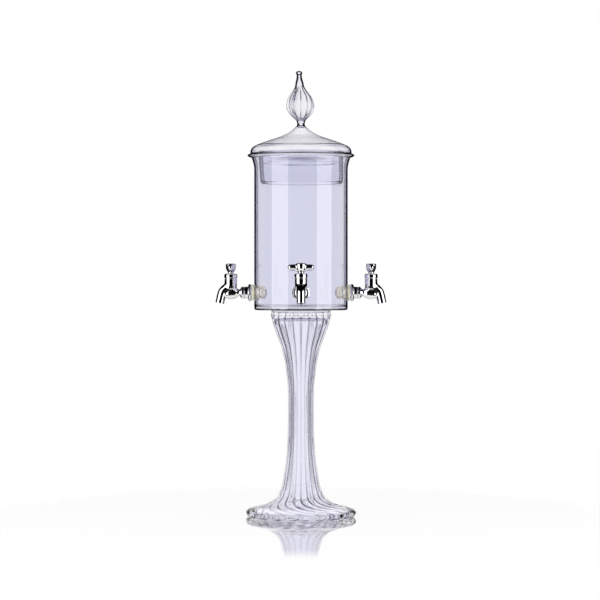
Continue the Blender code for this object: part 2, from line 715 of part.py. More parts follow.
def handle_mesh(chrome):
    """A T: a cup-shaped hub with two arms that droop a little to round ends."""
    spread = HUB_RADIUS - HUB_NECK_RADIUS
    base = hub_base()
    profile = [(0.0, base + HUB_HEIGHT)]
    profile += [(HUB_NECK_RADIUS + spread * out, base + HUB_HEIGHT * up) for up, out in HUB_SHARES]
    profile.append((0.0, base))
    hub = turned("hub", profile, TAP_STEPS)
    height = base + HUB_HEIGHT * ARM_HEIGHT_SHARE
    swell = ARM_END_RADIUS - ARM_ROOT_RADIUS
    half = [
        (ARM_HALF_SPAN * out, height - ARM_DROOP * down, ARM_ROOT_RADIUS + swell * fat)
        for out, down, fat in ARM_SHARES
    ]
    half.append((ARM_HALF_SPAN, height - ARM_DROOP, ARM_END_RADIUS * ARM_TIP_SHARE))
    arm = [(-out, up, fat) for out, up, fat in half[:0:-1]] + half
    line = [Vector((0.0, out, up)) for out, up, fat in arm]
    arms = tube("arms", line, [fat for out, up, fat in arm], ARM_SIDE_STEPS, ARM_CURVE_STEPS)
    socket = cylinder("hub_socket", SPINDLE_RADIUS + GAP, base - OVERRUN, spindle_top() + GAP, SMALL_STEPS)
    recess_floor = base + HUB_HEIGHT - HUB_RECESS_DEPTH
    recess = cylinder("hub_recess", HUB_RECESS_RADIUS, recess_floor, recess_floor + HUB_HEIGHT, SMALL_STEPS)
    hole = cylinder("hub_hole", SCREW_RADIUS + GAP, base, recess_floor + GAP, BORE_STEPS)
    mesh = worked(
        "handle", hub, ("UNION", arms), ("DIFFERENCE", socket), ("DIFFERENCE", recess),
        ("DIFFERENCE", hole),
    )
    return finished(mesh, chrome)


def handle_screw_mesh(chrome):
    head = screw_foot() + SCREW_LENGTH
    edge = head + SCREW_HEAD_THICKNESS / 2.0
    profile = [
        (0.0, head + SCREW_HEAD_THICKNESS), (SCREW_HEAD_RADIUS / 2.0, head + SCREW_HEAD_THICKNESS),
        (SCREW_HEAD_RADIUS, edge), (SCREW_HEAD_RADIUS, head), (SCREW_RADIUS, head),
        (SCREW_RADIUS, screw_foot()), (0.0, screw_foot()),
    ]
    return finished(baked(turned("screw", profile, BORE_STEPS)), chrome)


def make_taps(chrome, brass, rubber, silicone, plastic):
    """Each piece is made once, round the spindle's axis, and shared by the four taps."""
    pieces = {
        "tap_body": tap_body_mesh(chrome),
        "outer_washer": outer_washer_mesh(silicone),
        "inner_washer": inner_washer_mesh(silicone),
        "lock_nut": lock_nut_mesh(plastic),
        "bonnet_nut": bonnet_nut_mesh(chrome),
        "o_ring": o_ring_mesh(rubber),
        "valve_washer": valve_washer_mesh(rubber),
        "spindle": spindle_mesh(brass),
        "handle": handle_mesh(chrome),
        "handle_screw": handle_screw_mesh(chrome),
    }
    for at, tap in enumerate(TAP_NAMES):
        axis = bpy.data.objects.new(tap + "_tap_axis", None)
        PART.objects.link(axis)
        angle = tap_angle(at)
        out = Vector((math.cos(angle), math.sin(angle), 0.0)) * BARREL_AXIS_RADIUS
        axis.location = out + Vector((0.0, 0.0, SHANK_HEIGHT))
        axis.rotation_euler.z = angle
        for kind, mesh in pieces.items():
            linked(tap + "_" + kind, mesh).parent = axis


clear_scene()
PART = new_collection("absinthe_fountain")
CUTTERS = new_collection("cutters")
CLEAR_GLASS = new_material("clear_glass", (0.88, 0.88, 0.97), 0.02, transmission=1.0)
BOND = new_material("clear_bond", (0.85, 0.85, 0.92), 0.08, transmission=0.9)
CHROME = new_material("chrome", (0.80, 0.80, 0.82), 0.06, metallic=1.0)
BRASS = new_material("brass", (0.72, 0.55, 0.28), 0.25, metallic=1.0)
RUBBER = new_material("black_rubber", (0.03, 0.03, 0.03), 0.70)
SILICONE = new_material("cream_silicone", (0.60, 0.57, 0.46), 0.45)
NYLON = new_material("cream_plastic", (0.58, 0.50, 0.38), 0.40)
make_pedestal(CLEAR_GLASS)
make_bond(BOND)
make_reservoir(CLEAR_GLASS)
make_finial(CLEAR_GLASS, make_lid(CLEAR_GLASS))
make_taps(CHROME, BRASS, RUBBER, SILICONE, NYLON)
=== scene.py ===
import json
import math

import bpy
import numpy as np
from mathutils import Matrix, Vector

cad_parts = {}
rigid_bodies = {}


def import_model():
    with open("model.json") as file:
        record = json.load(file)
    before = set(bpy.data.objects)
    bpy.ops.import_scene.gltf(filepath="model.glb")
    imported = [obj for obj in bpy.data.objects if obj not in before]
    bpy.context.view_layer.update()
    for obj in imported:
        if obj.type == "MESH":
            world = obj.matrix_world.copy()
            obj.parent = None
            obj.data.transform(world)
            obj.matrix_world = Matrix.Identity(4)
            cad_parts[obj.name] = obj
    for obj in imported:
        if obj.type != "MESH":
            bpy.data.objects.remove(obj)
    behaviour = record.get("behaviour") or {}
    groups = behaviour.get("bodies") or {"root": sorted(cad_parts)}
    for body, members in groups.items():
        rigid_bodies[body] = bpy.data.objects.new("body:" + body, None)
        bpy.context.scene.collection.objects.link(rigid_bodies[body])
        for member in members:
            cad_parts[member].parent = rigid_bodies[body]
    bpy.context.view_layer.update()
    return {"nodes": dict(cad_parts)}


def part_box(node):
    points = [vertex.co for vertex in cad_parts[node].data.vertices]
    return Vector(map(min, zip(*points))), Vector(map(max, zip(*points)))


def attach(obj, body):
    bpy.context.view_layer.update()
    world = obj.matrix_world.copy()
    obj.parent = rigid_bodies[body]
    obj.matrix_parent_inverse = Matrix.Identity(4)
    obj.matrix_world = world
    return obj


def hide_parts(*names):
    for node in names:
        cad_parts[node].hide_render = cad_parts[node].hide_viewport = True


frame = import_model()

# The reservoir
# A length of clear borosilicate tube with a flat welded floor. Its lip is flared on the lathe and
# fire-polished round, and four holes are drilled near the floor for the taps.

tank_low, tank_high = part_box("reservoir")
tank_base = tank_low.z
tank_top = tank_high.z
lip_radius = tank_high.x
lip_flare = 0.0032
flare_height = 0.0150
tank_radius = lip_radius - lip_flare
tank_wall = 0.0024
tank_floor = 0.0044
tank_corner = 0.0026
tank_bore = tank_radius - tank_wall
tap_low, tap_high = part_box("right_bonnet_nut")
tap_reach = (tap_low.x + tap_high.x) / 2.0
shank_height = tank_base + 0.0218
shank_hole_radius = 0.0060
tank_steps = 256
glass_colour = (0.852, 0.858, 0.942, 1.0)
# Painted shade: the glass is painted dark navy at its outlines and along its reed valleys, where real glass
# refracts the dark studio.
painted_edge_shade_colour = (0.0025, 0.0020, 0.0120, 1.0)
painted_groove_shade_colour = (0.030, 0.026, 0.065, 1.0)
tank_edge_width = 0.0027
edge_softness = 0.03


def smooth_line(points, spacing):
    """Points about the given spacing apart on a smooth curve through listed ones."""
    points = np.asarray(points, float)
    chords = np.linalg.norm(np.diff(points, axis=0), axis=1)
    knots = np.concatenate([[0.0], np.cumsum(chords)])
    slopes = np.gradient(points, knots, axis=0)
    count = max(2, int(round(knots[-1] / spacing)) + 1)
    along = np.linspace(0.0, knots[-1], count)
    span = np.clip(np.searchsorted(knots, along, side="right") - 1, 0, len(points) - 2)
    width = (knots[span + 1] - knots[span])[:, None]
    part = (along - knots[span])[:, None] / width
    start = (1.0 + 2.0 * part) * (1.0 - part) ** 2
    end = part * part * (3.0 - 2.0 * part)
    leave = part * (1.0 - part) ** 2 * width
    arrive = part * part * (part - 1.0) * width
    return start * points[span] + end * points[span + 1] + leave * slopes[span] + arrive * slopes[span + 1]


def round_corner(centre_radius, centre_height, radius, start, end, count=7):
    """An arc in a turned outline, between two angles in degrees."""
    angles = np.radians(np.linspace(start, end, count))
    centre = np.array([centre_radius, centre_height])
    return centre + radius * np.stack([np.cos(angles), np.sin(angles)], axis=1)


def joined(*runs):
    """One outline out of several runs of points, without the points that repeat."""
    line = np.vstack([np.atleast_2d(np.asarray(run, float)) for run in runs])
    keep = np.concatenate([[True], np.linalg.norm(np.diff(line, axis=0), axis=1) > 0.000001])
    return line[keep]


def edge_start(radius, width):
    """How far a round wall has turned from the eye, 0 to 1, where its painted dark edge of this
    width starts."""
    share = np.clip(1.0 - width / np.maximum(radius, 0.0005), 0.0, 0.999)
    return 1.0 - np.sqrt(1.0 - share * share)


def turned_piece(name, outline, steps, shape=None, crease=40.0, groove_shade=None, edge_width=0.0022):
    """A closed form turned about Z from an outline of (radius, height) points. An outline that
    starts and ends off the axis closes on itself. The shape may move the turned points. The share
    of painted groove shade, and where the painted dark edge starts, are given at each point for
    the material to read."""
    outline = np.asarray(outline, float)
    rows = len(outline)
    turn = np.arange(steps) * (math.tau / steps)
    radius = np.repeat(outline[:, :1], steps, axis=1)
    height = np.repeat(outline[:, 1:], steps, axis=1)
    angle = np.repeat(turn[None, :], rows, axis=0)
    if shape is not None:
        radius, angle, height = shape(radius, angle, height)
    grid = np.stack([radius * np.cos(angle), radius * np.sin(angle), height], axis=-1)
    first_pole = outline[0, 0] < 0.000001
    last_pole = outline[-1, 0] < 0.000001
    between_poles = slice(1 if first_pole else 0, rows - 1 if last_pole else rows)
    middle = grid[between_poles]
    count = len(middle)
    corners = middle.reshape(-1, 3)
    index = np.arange(count * steps).reshape(count, steps)
    if not (first_pole or last_pole):
        index = np.vstack([index, index[:1]])
    across = np.roll(index, -1, axis=1)
    quads = np.stack([index[:-1], index[1:], across[1:], across[:-1]], axis=-1).reshape(-1, 4)
    faces = quads.tolist()
    points = corners.tolist()
    if first_pole:
        pole = len(points)
        points.append(grid[0].mean(axis=0).tolist())
        faces += [[pole, int(a), int(b)] for a, b in zip(index[0], across[0])]
    if last_pole:
        pole = len(points)
        points.append(grid[-1].mean(axis=0).tolist())
        faces += [[pole, int(b), int(a)] for a, b in zip(index[-1], across[-1])]
    mesh = bpy.data.meshes.new(name)
    mesh.from_pydata(points, [], faces)
    if groove_shade is not None:
        share = groove_shade(radius, angle, height)[between_poles].ravel()
        share = np.concatenate([share, np.zeros(len(points) - len(share))])
        mesh.attributes.new("groove_shade", "FLOAT", "POINT").data.foreach_set("value", share)
    start = np.repeat(edge_start(outline[:, 0], edge_width)[:, None], steps, axis=1)
    start = start[between_poles].ravel()
    start = np.concatenate([start, np.full(len(points) - len(start), 1.0)])
    mesh.attributes.new("edge_start", "FLOAT", "POINT").data.foreach_set("value", start)
    mesh.shade_smooth()
    mesh.set_sharp_from_angle(angle=math.radians(crease))
    piece = bpy.data.objects.new(name, mesh)
    bpy.context.scene.collection.objects.link(piece)
    turn_faces_out(piece)
    return piece


def turn_faces_out(piece):
    """Makes every face look outwards, whichever way its outline ran."""
    volume = 0.0
    for face in piece.data.polygons:
        volume += face.center.dot(face.normal) * face.area
    if volume < 0.0:
        piece.data.flip_normals()


def fitted(piece, body, slot, *nodes):
    """The piece moves with its body and takes the place of the CAD nodes given, if there are any."""
    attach(piece, body)
    if nodes:
        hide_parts(*nodes)


def fill(tree, node, inputs):
    """Sets a node's inputs, each to a value or to the socket that feeds it."""
    for label, value in inputs.items():
        if isinstance(value, bpy.types.NodeSocket):
            tree.links.new(value, node.inputs[label])
        else:
            node.inputs[label].default_value = value


def added(tree, kind, inputs=None, **settings):
    """A new shader node with its settings and inputs."""
    node = tree.nodes.new("ShaderNode" + kind)
    for label, value in settings.items():
        setattr(node, label, value)
    fill(tree, node, inputs or {})
    return node


def maths(tree, operation, *terms, clamp=False):
    """What one step of arithmetic on values or sockets gives."""
    node = added(tree, "Math", dict(enumerate(terms)), operation=operation, use_clamp=clamp)
    return node.outputs[0]


def ramped(tree, value, start, end, low=0.0, high=1.0, smooth=False):
    """The value's way from start to end, as a value from low to high."""
    inputs = {"Value": value, "From Min": start, "From Max": end, "To Min": low, "To Max": high}
    node = added(tree, "MapRange", inputs, interpolation_type="SMOOTHSTEP" if smooth else "LINEAR")
    return node.outputs["Result"]


def mixed_colour(tree, share, first, second, blend="MIX"):
    """Two colours mixed, with the given share of the second."""
    inputs = {"Factor": share, "A": first, "B": second}
    return added(tree, "Mix", inputs, data_type="RGBA", blend_type=blend).outputs["Result"]


def node_group(name, inputs, outputs):
    """An empty shader node group, what it is given and its output node. A socket is a colour if
    its name says so, and else a number."""
    group = bpy.data.node_groups.new(name, "ShaderNodeTree")
    for side, labels in (("INPUT", inputs), ("OUTPUT", outputs)):
        for label in labels:
            kind = "NodeSocketColor" if "Colour" in label else "NodeSocketFloat"
            socket = group.interface.new_socket(name=label, in_out=side, socket_type=kind)
            if side == "INPUT":
                socket.default_value = inputs[label]
    return group, group.nodes.new("NodeGroupInput").outputs, group.nodes.new("NodeGroupOutput")


def new_material(name):
    """An empty material, its node tree and its Principled shader."""
    made = bpy.data.materials.new(name)
    made.use_nodes = True
    return made, made.node_tree, made.node_tree.nodes["Principled BSDF"]


def noise_texture(tree, scale, stretch, detail):
    """A noise over the piece's own coordinates, drawn out along its height."""
    place = added(tree, "TexCoord").outputs["Object"]
    place = added(tree, "Mapping", {"Vector": place, "Scale": stretch}).outputs["Vector"]
    inputs = {"Vector": place, "Scale": scale, "Detail": detail}
    return added(tree, "TexNoise", inputs).outputs["Fac"]


def drawn_glass_and_painted_shade_group():
    """Faint vertical draw lines in lamp-worked glass over a body colour, with a painted highlight
    band, painted shade in the grooves and a painted dark edge.
    """
    group, given, out = node_group(
        "drawn_glass_and_painted_shade",
        {
            "Body Colour": glass_colour, "Painted Edge Shade Colour": painted_edge_shade_colour, "Painted Highlight": 0.0, "Edge": 0.0,
            "Groove": 0.0, "Painted Groove Shade Colour": painted_groove_shade_colour, "Streak": 0.03,
        },
        ("Colour", "Roughness"),
    )
    noise = noise_texture(group, 60.0, (1.0, 1.0, 0.06), 2.0)
    streak = maths(group, "MULTIPLY", noise, given["Streak"])
    colour = mixed_colour(group, streak, given["Body Colour"], (0.55, 0.55, 0.72, 1.0), "MULTIPLY")
    # Painted highlight whitens the colour towards the outline. Painted shade then darkens the grooves and the
    # edge.
    colour = mixed_colour(group, given["Painted Highlight"], colour, (1.0, 1.0, 1.0, 1.0))
    colour = mixed_colour(group, given["Groove"], colour, given["Painted Groove Shade Colour"])
    colour = mixed_colour(group, given["Edge"], colour, given["Painted Edge Shade Colour"])
    fill(group, out, {"Colour": colour, "Roughness": maths(group, "MULTIPLY", noise, 0.006)})
    return group


def painted_groove_shade_group():
    """A painted shade line in the valley between two reeds, stronger here and fainter there."""
    group, given, out = node_group("painted_groove_shade", {"Strength": 0.5, "Break Up": 0.6}, ("Mask",))
    # Painted shade along the reed valleys, broken up by noise.
    valley = added(group, "Attribute", attribute_name="groove_shade").outputs["Fac"]
    noise = noise_texture(group, 45.0, (1.0, 1.0, 0.35), 1.0)
    weakest = maths(group, "SUBTRACT", 1.0, given["Break Up"])
    varied = maths(group, "MULTIPLY", valley, ramped(group, noise, 0.35, 0.65, low=weakest))
    fill(group, out, {"Mask": maths(group, "MULTIPLY", varied, given["Strength"], clamp=True)})
    return group


drawn_glass_and_painted_shade = drawn_glass_and_painted_shade_group()
painted_groove_shade = painted_groove_shade_group()


def glass_material(
    name, body_colour, edge_shade_strength, streak=0.03, groove_shade_strength=0.0, break_up=0.6, ior=1.47,
    far_share=0.45, centre_share=1.0, coat=0.0
):
    """Clear glass with a painted dark edge where an upright wall is seen edge-on, as before a light
    box, a painted highlight band just inside it and, where asked, painted shade lines in the grooves.
    """
    made, tree, shader = new_material(name)
    path = added(tree, "LightPath").outputs
    # Painted shade: the base colour turns dark where the wall turns edge-on, less so after bounces and on
    # steep faces.
    facing = added(tree, "LayerWeight", {"Blend": 0.5}).outputs["Facing"]
    start = added(tree, "Attribute", attribute_name="edge_start").outputs["Fac"]
    edge = ramped(tree, facing, start, maths(tree, "ADD", start, edge_softness), high=edge_shade_strength)
    bounces = maths(tree, "ADD", path["Glossy Depth"], path["Diffuse Depth"])
    edge = maths(tree, "MULTIPLY", edge, maths(tree, "SUBTRACT", 1.0, bounces, clamp=True))
    normal = added(tree, "NewGeometry").outputs["Normal"]
    steep = maths(tree, "ABSOLUTE", added(tree, "SeparateXYZ", {0: normal}).outputs["Z"])
    edge = maths(tree, "MULTIPLY", edge, ramped(tree, steep, 0.85, 0.45, smooth=True))
    groove_shade = 0.0
    # Painted shade lines along the reed valleys, stronger for rays straight from the eye.
    if groove_shade_strength > 0.0:
        inputs = {"Strength": groove_shade_strength, "Break Up": break_up}
        line = added(tree, "Group", inputs, node_tree=painted_groove_shade)
        near = ramped(tree, path["Is Camera Ray"], 0.0, 1.0, low=far_share)
        aside = ramped(tree, facing, 0.0, 0.22, low=centre_share)
        groove_shade = maths(tree, "MULTIPLY", maths(tree, "MULTIPLY", near, line.outputs["Mask"]), aside)
    # Painted highlight: the base colour whitens just inside the outline.
    glass = added(tree, "Group", {
        "Body Colour": body_colour, "Painted Edge Shade Colour": painted_edge_shade_colour,
        "Painted Groove Shade Colour": painted_groove_shade_colour, "Streak": streak, "Edge": edge, "Groove": groove_shade,
        "Painted Highlight": ramped(tree, facing, 0.30, 0.62, smooth=True),
    }, node_tree=drawn_glass_and_painted_shade).outputs
    fill(tree, shader, {
        "Transmission Weight": 1.0, "IOR": ior, "Coat Weight": coat,
        "Base Color": glass["Colour"], "Roughness": glass["Roughness"],
    })
    return made


tube_glass = glass_material("tube_glass", glass_colour, 1.0, coat=0.6)


def tank_outline():
    """From the middle of the floor, up the inside, over the lip and down the outside."""
    floor = tank_base + tank_floor
    lip = tank_wall / 2.0
    flare_share = np.linspace(0.0, 1.0, 9)
    flare_rise = tank_top - lip - flare_height * (1.0 - flare_share)
    flare = np.stack([lip_flare * flare_share ** 2, flare_rise], axis=1)
    near_taps = np.arange(floor + tank_corner, shank_height + 0.0150, 0.0015)
    straight = np.concatenate([near_taps, np.linspace(near_taps[-1] + 0.006, flare[0, 1] - 0.006, 14)])
    inside = np.stack([np.full(len(straight), tank_bore), straight], axis=1)
    outside = np.stack([np.full(len(straight), tank_radius), straight], axis=1)
    floor_reach = tank_bore - tank_corner
    return joined(
        np.linspace((0.0, floor), (floor_reach, floor), 8),
        round_corner(tank_bore - tank_corner, floor + tank_corner, tank_corner, -90.0, 0.0),
        inside[1:],
        flare + (tank_bore, 0.0),
        round_corner(lip_radius - lip, tank_top - lip, lip, 180.0, 0.0, 9),
        (flare + (tank_radius, 0.0))[::-1],
        outside[::-1],
        round_corner(tank_radius - tank_corner, tank_base + tank_corner, tank_corner, 0.0, -90.0),
        np.linspace((floor_reach, tank_base), (0.0, tank_base), 8),
    )


tap_names = ("front", "right", "back", "left")
tap_turns = {tap: -math.pi / 2.0 + place * math.pi / 2.0 for place, tap in enumerate(tap_names)}
reservoir = turned_piece("reservoir_glass", tank_outline(), tank_steps)
for tap in tap_names:
    drill_start = tank_bore / 2.0
    drill = turned_piece(tap + "_drill", [
        (0.0, lip_radius), (shank_hole_radius, lip_radius),
        (shank_hole_radius, drill_start), (0.0, drill_start),
    ], 48)
    drill.rotation_euler = (0.0, math.pi / 2.0, tap_turns[tap])
    drill.location.z = shank_height
    cut = reservoir.modifiers.new(tap + "_hole", "BOOLEAN")
    cut.operation = "DIFFERENCE"
    cut.solver = "EXACT"
    cut.object = drill
bpy.context.view_layer.update()
drilled = bpy.data.meshes.new_from_object(reservoir.evaluated_get(bpy.context.evaluated_depsgraph_get()))
reservoir.modifiers.clear()
reservoir.data = drilled
for tap in tap_names:
    bpy.data.objects.remove(bpy.data.objects[tap + "_drill"], do_unlink=True)
drilled.materials.clear()
drilled.materials.append(tube_glass)
if "edge_start" in drilled.attributes:
    drilled.attributes.remove(drilled.attributes["edge_start"])
corner_radii = np.array([math.hypot(corner.co.x, corner.co.y) for corner in drilled.vertices])
tank_edges = edge_start(corner_radii, tank_edge_width)
drilled.attributes.new("edge_start", "FLOAT", "POINT").data.foreach_set("value", tank_edges)
fitted(reservoir, "fountain", "clear_glass", "reservoir")

# The pedestal
# A hollow stem blown into a mould with twenty reeds, then opened out hot into the foot. The foot
# was spun as it opened, so the reeds swirl a little where they run out over it.

pedestal_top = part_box("pedestal")[1].z
reed_count = 20
reed_steps = 14
reed_depth_share = 0.062
swirl_turn = math.radians(58.0)
swirl_start = 0.0300
swirl_end = 0.0700
pedestal_outline_points = (
    (0.03660, pedestal_top), (0.03760, 0.25450), (0.03800, 0.25200), (0.03700, 0.24800),
    (0.03540, 0.24100), (0.03270, 0.23375), (0.02990, 0.22600), (0.02690, 0.21875),
    (0.02420, 0.21100), (0.02270, 0.20400), (0.02080, 0.19600), (0.01950, 0.18900),
    (0.01870, 0.18100), (0.01670, 0.16500), (0.01625, 0.15000), (0.01620, 0.12500),
    (0.01650, 0.10600), (0.01740, 0.08750), (0.01820, 0.07500), (0.01940, 0.06500),
    (0.02070, 0.05750), (0.02190, 0.05000), (0.02320, 0.04250), (0.02510, 0.03500),
    (0.02660, 0.03125), (0.02820, 0.02750), (0.03070, 0.02375), (0.03520, 0.02000),
    (0.04250, 0.01625), (0.05400, 0.01250), (0.06200, 0.01050), (0.06680, 0.00880),
    (0.06890, 0.00640), (0.06850, 0.00300), (0.06600, 0.00060), (0.06450, 0.0),
)
hollow_outline_points = (
    (0.05750, 0.0), (0.05650, 0.00150), (0.05300, 0.00620), (0.04450, 0.01000), (0.03560, 0.01330),
    (0.02900, 0.01820), (0.02470, 0.02450), (0.02200, 0.03200), (0.01980, 0.04300),
    (0.01750, 0.05700), (0.01480, 0.07800), (0.01330, 0.10000), (0.01290, 0.12500),
    (0.01300, 0.15500), (0.01460, 0.17800), (0.01700, 0.19800), (0.02080, 0.21300),
    (0.02560, 0.22600), (0.03000, 0.23700), (0.03260, 0.24400), (0.03200, 0.24720), (0.02900, 0.24850),
    (0.02000, 0.24900), (0.0, 0.24900),
)


def eased(value, start, end):
    """0 before start, 1 after end and smooth in between."""
    part = np.clip((value - start) / (end - start), 0.0, 1.0)
    return part * part * (3.0 - 2.0 * part)


def foot_swirl(radius, height):
    """How far the reeds have turned about the axis where they run out over the foot."""
    out = np.clip((radius - swirl_start) / (swirl_end - swirl_start), 0.0, 1.0)
    return swirl_turn * out ** 1.6 * (height < 0.05)


def reeded_pedestal(radius, angle, height):
    """Draws the skin in between the reeds, swirls the foot and makes its rim a little uneven."""
    outside = np.zeros_like(radius, bool)
    outside[: len(pedestal_line)] = True
    lobe = np.sqrt(np.sin(angle * reed_count / 2.0) ** 2 + 0.02)
    lobe = (lobe - 0.1414) / (1.0099 - 0.1414)
    crown = 1.0 + 0.9 * eased(height, 0.2440, 0.2525)
    fade = 1.0 - 0.72 * eased(radius, 0.040, 0.062)
    near_floor = eased(height, 0.0, 0.0030)
    depth = reed_depth_share * crown * fade * near_floor
    soft = 0.5 - 0.5 * np.cos(angle * reed_count)
    skin = radius * (1.0 - depth * (1.0 - lobe))
    inside_skin = radius * (1.0 - 0.022 * (1.0 - soft) * eased(0.2440 - height, 0.0, 0.010))
    moved = np.where(outside, skin, inside_skin)
    rim = eased(radius, 0.058, 0.067) * near_floor
    moved = moved + rim * 0.00035 * np.sin(angle * 3.0 + 0.8) * np.sin(angle * 7.0)
    height = height + rim * 0.00030 * np.sin(angle * reed_count / 2.0 + 0.4) * np.sin(angle * 5.0)
    return moved, angle + foot_swirl(radius, height), height


def pedestal_shade_lines(radius, angle, height):
    """Painted shade on the outside: a thin dark line along each valley, dashes and flecks round the
    rim, a fine dark haze over the foot and a row of dark arches under the tank."""
    on_skin = np.zeros_like(radius)
    on_skin[: len(pedestal_line)] = 1.0
    turn = np.arange(radius.shape[1]) * (math.tau / radius.shape[1])
    valley = 1.0 - np.abs(np.sin(turn * reed_count / 2.0))[None, :]
    line = eased(valley, 0.42, 1.0)
    reach = 1.0 - 0.65 * eased(radius, 0.043, 0.056)
    level = 0.90 + 0.60 * eased(height, 0.155, 0.215) + 0.30 * (1.0 - eased(height, 0.018, 0.050))
    drawn = line * reach * level * eased(height, 0.0030, 0.0070) * (1.0 - eased(height, 0.2490, 0.2520))
    wave = np.sin(23.0 * turn + 1.3 * np.sin(5.0 * turn)) + 0.7 * np.sin(61.0 * turn + 2.0)
    dash = np.clip(0.45 + 0.55 * wave, 0.0, 1.0)[None, :]
    speck = np.clip(np.sin(97.0 * turn + 3.0 * np.sin(11.0 * turn)), 0.0, 1.0)[None, :]
    rim_line = eased(radius, 0.0650, 0.0675) * (1.0 - eased(height, 0.0012, 0.0034)) * dash
    rim_side = 0.55 * eased(radius, 0.0655, 0.0680) * (1.0 - eased(height, 0.0080, 0.0100)) * speck
    fine = np.clip(np.cos(3.0 * reed_count * turn), 0.0, 1.0)[None, :]
    foot_shade_haze = (0.10 + 0.22 * fine) * eased(radius, 0.030, 0.042) * (height < 0.05)
    arch = 0.2528 - 0.0016 * (1.0 - valley)
    arches = np.clip(1.0 - np.abs(height - arch) / 0.0009, 0.0, 1.0) * (radius > 0.036)
    return on_skin * np.clip(drawn + rim_line + rim_side + foot_shade_haze + 1.2 * arches, 0.0, 1.0)


pedestal_line = joined(
    np.linspace((0.0, pedestal_top), (0.0330, pedestal_top), 6),
    smooth_line(pedestal_outline_points[:5], 0.0004),
    smooth_line(pedestal_outline_points[4:25], 0.0030),
    smooth_line(pedestal_outline_points[24:], 0.0012),
)
hollow_line = smooth_line(hollow_outline_points, 0.0028)
hollow_line[-1, 0] = 0.0
reed_glass = glass_material(
    "reed_glass", (0.905, 0.902, 0.965, 1.0), 0.9, groove_shade_strength=1.5, break_up=0.45, ior=1.18,
    centre_share=0.35,
)
pedestal_rows = joined(pedestal_line, hollow_line)
pedestal_edges = np.interp(
    pedestal_rows[:, 1], (0.030, 0.050, 0.2460, 0.2500), (0.0008, 0.0030, 0.0030, 0.0040)
)
pedestal = turned_piece(
    "pedestal_glass", pedestal_rows, reed_count * reed_steps, reeded_pedestal, 75.0,
    pedestal_shade_lines, pedestal_edges,
)
pedestal.data.materials.append(reed_glass)
fitted(pedestal, "fountain", "clear_glass", "pedestal")

# The joint disc
# A thin pool of clear light-cured adhesive that bonds the pedestal under the reservoir. It stops
# a little short of the pedestal's top edge and its rim is drawn in by its own surface tension.

disc_low, disc_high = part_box("joint_disc")
disc_radius = disc_high.x
disc_height = disc_high.z - disc_low.z
disc_rim = disc_height / 2.0
disc_line = joined(
    np.linspace((0.0, disc_high.z), (disc_radius - disc_rim, disc_high.z), 6),
    round_corner(disc_radius - disc_rim, disc_low.z + disc_rim, disc_rim, 90.0, 40.0, 4),
    [(disc_radius - 0.0009, disc_low.z + disc_rim)],
    round_corner(disc_radius - disc_rim, disc_low.z + disc_rim, disc_rim, -40.0, -90.0, 4),
    np.linspace((disc_radius - disc_rim, disc_low.z), (0.0, disc_low.z), 6),
)
bond_glass = glass_material("cured_adhesive", (0.97, 0.97, 0.985, 1.0), 0.1, streak=0.08, ior=1.06)
joint_disc = turned_piece("joint_disc_bond", disc_line, 160)
joint_disc.data.materials.append(bond_glass)
fitted(joint_disc, "fountain", "clear_bond", "joint_disc")

# The lid
# A blown dome drawn up to a thin neck, with a pressed flange that sits on the reservoir's lip and
# a long skirt that drops inside it. It was finished by hand, so the skirt hangs a touch askew.

lid_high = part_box("lid")[1]
lid_seat = tank_top + 0.0003
lid_top = lid_high.z
flange_radius = lid_high.x
lid_steps = 224
lid_dome_points = (
    (0.0047, lid_top), (0.0050, 0.4890), (0.0082, 0.4853), (0.0129, 0.4815), (0.0173, 0.4788),
    (0.0230, 0.4760), (0.0299, 0.4734), (0.0370, 0.4711), (0.0450, 0.4683), (0.0525, 0.4655),
    (0.0580, 0.4630), (0.0612, 0.4605), (0.0628, 0.4575), (0.0631, 0.4550), (0.0634, 0.4534),
)
lid_flange_points = (
    (0.0634, 0.4534), (0.0645, 0.4529), (0.0657, 0.4525), (flange_radius, 0.4512),
    (0.0656, 0.4500), (0.0640, lid_seat), (0.0600, lid_seat), (0.0550, lid_seat),
)
lid_wall = 0.0024
lid_skirt_points = (
    (0.0550, lid_seat), (0.0532, 0.4484), (0.0526, 0.4460), (0.0524, 0.4400), (0.0520, 0.4300),
    (0.0516, 0.4200), (0.0513, 0.4178), (0.0502, 0.41635), (0.0491, 0.4178), (0.0490, 0.4200),
    (0.0494, 0.4300), (0.0497, 0.4400), (0.0501, 0.4470), (0.0520, 0.4505), (0.0565, 0.4522),
    (0.0596, 0.4536),
)
skirt_lean = math.tan(math.radians(2.0))


def hand_finished_lid(radius, angle, height):
    """Lets the skirt lean, and gives the blown dome a very slight oval."""
    below = np.clip(lid_seat - height, 0.0, None)
    oval = 1.0 + 0.0035 * np.cos(2.0 * angle + 0.6) * (radius > 0.010)
    x = radius * oval * np.cos(angle) + below * skirt_lean
    y = radius * oval * np.sin(angle)
    return np.hypot(x, y), np.arctan2(y, x), height


def lid_shade_rings(radius, angle, height):
    """Painted shade rings, fine dark lines where the dome meets its band, on the flange's edge and at
    the root of the skirt."""
    rings = (
        (0.0598, 0.4617, 0.0010, 1.3), (0.0664, 0.4512, 0.0007, 0.25), (0.0499, 0.4419, 0.0009, 1.2),
        (0.0129, 0.4815, 0.0007, 0.25), (0.0230, 0.4760, 0.0007, 0.25), (0.0370, 0.4711, 0.0007, 0.30),
    )
    total = np.zeros_like(radius)
    for ring_radius, ring_height, half, strength in rings:
        away = np.hypot(radius - ring_radius, height - ring_height)
        total = total + strength * np.clip(1.2 - away / half, 0.0, 1.0)
    return np.clip(total, 0.0, 1.0)


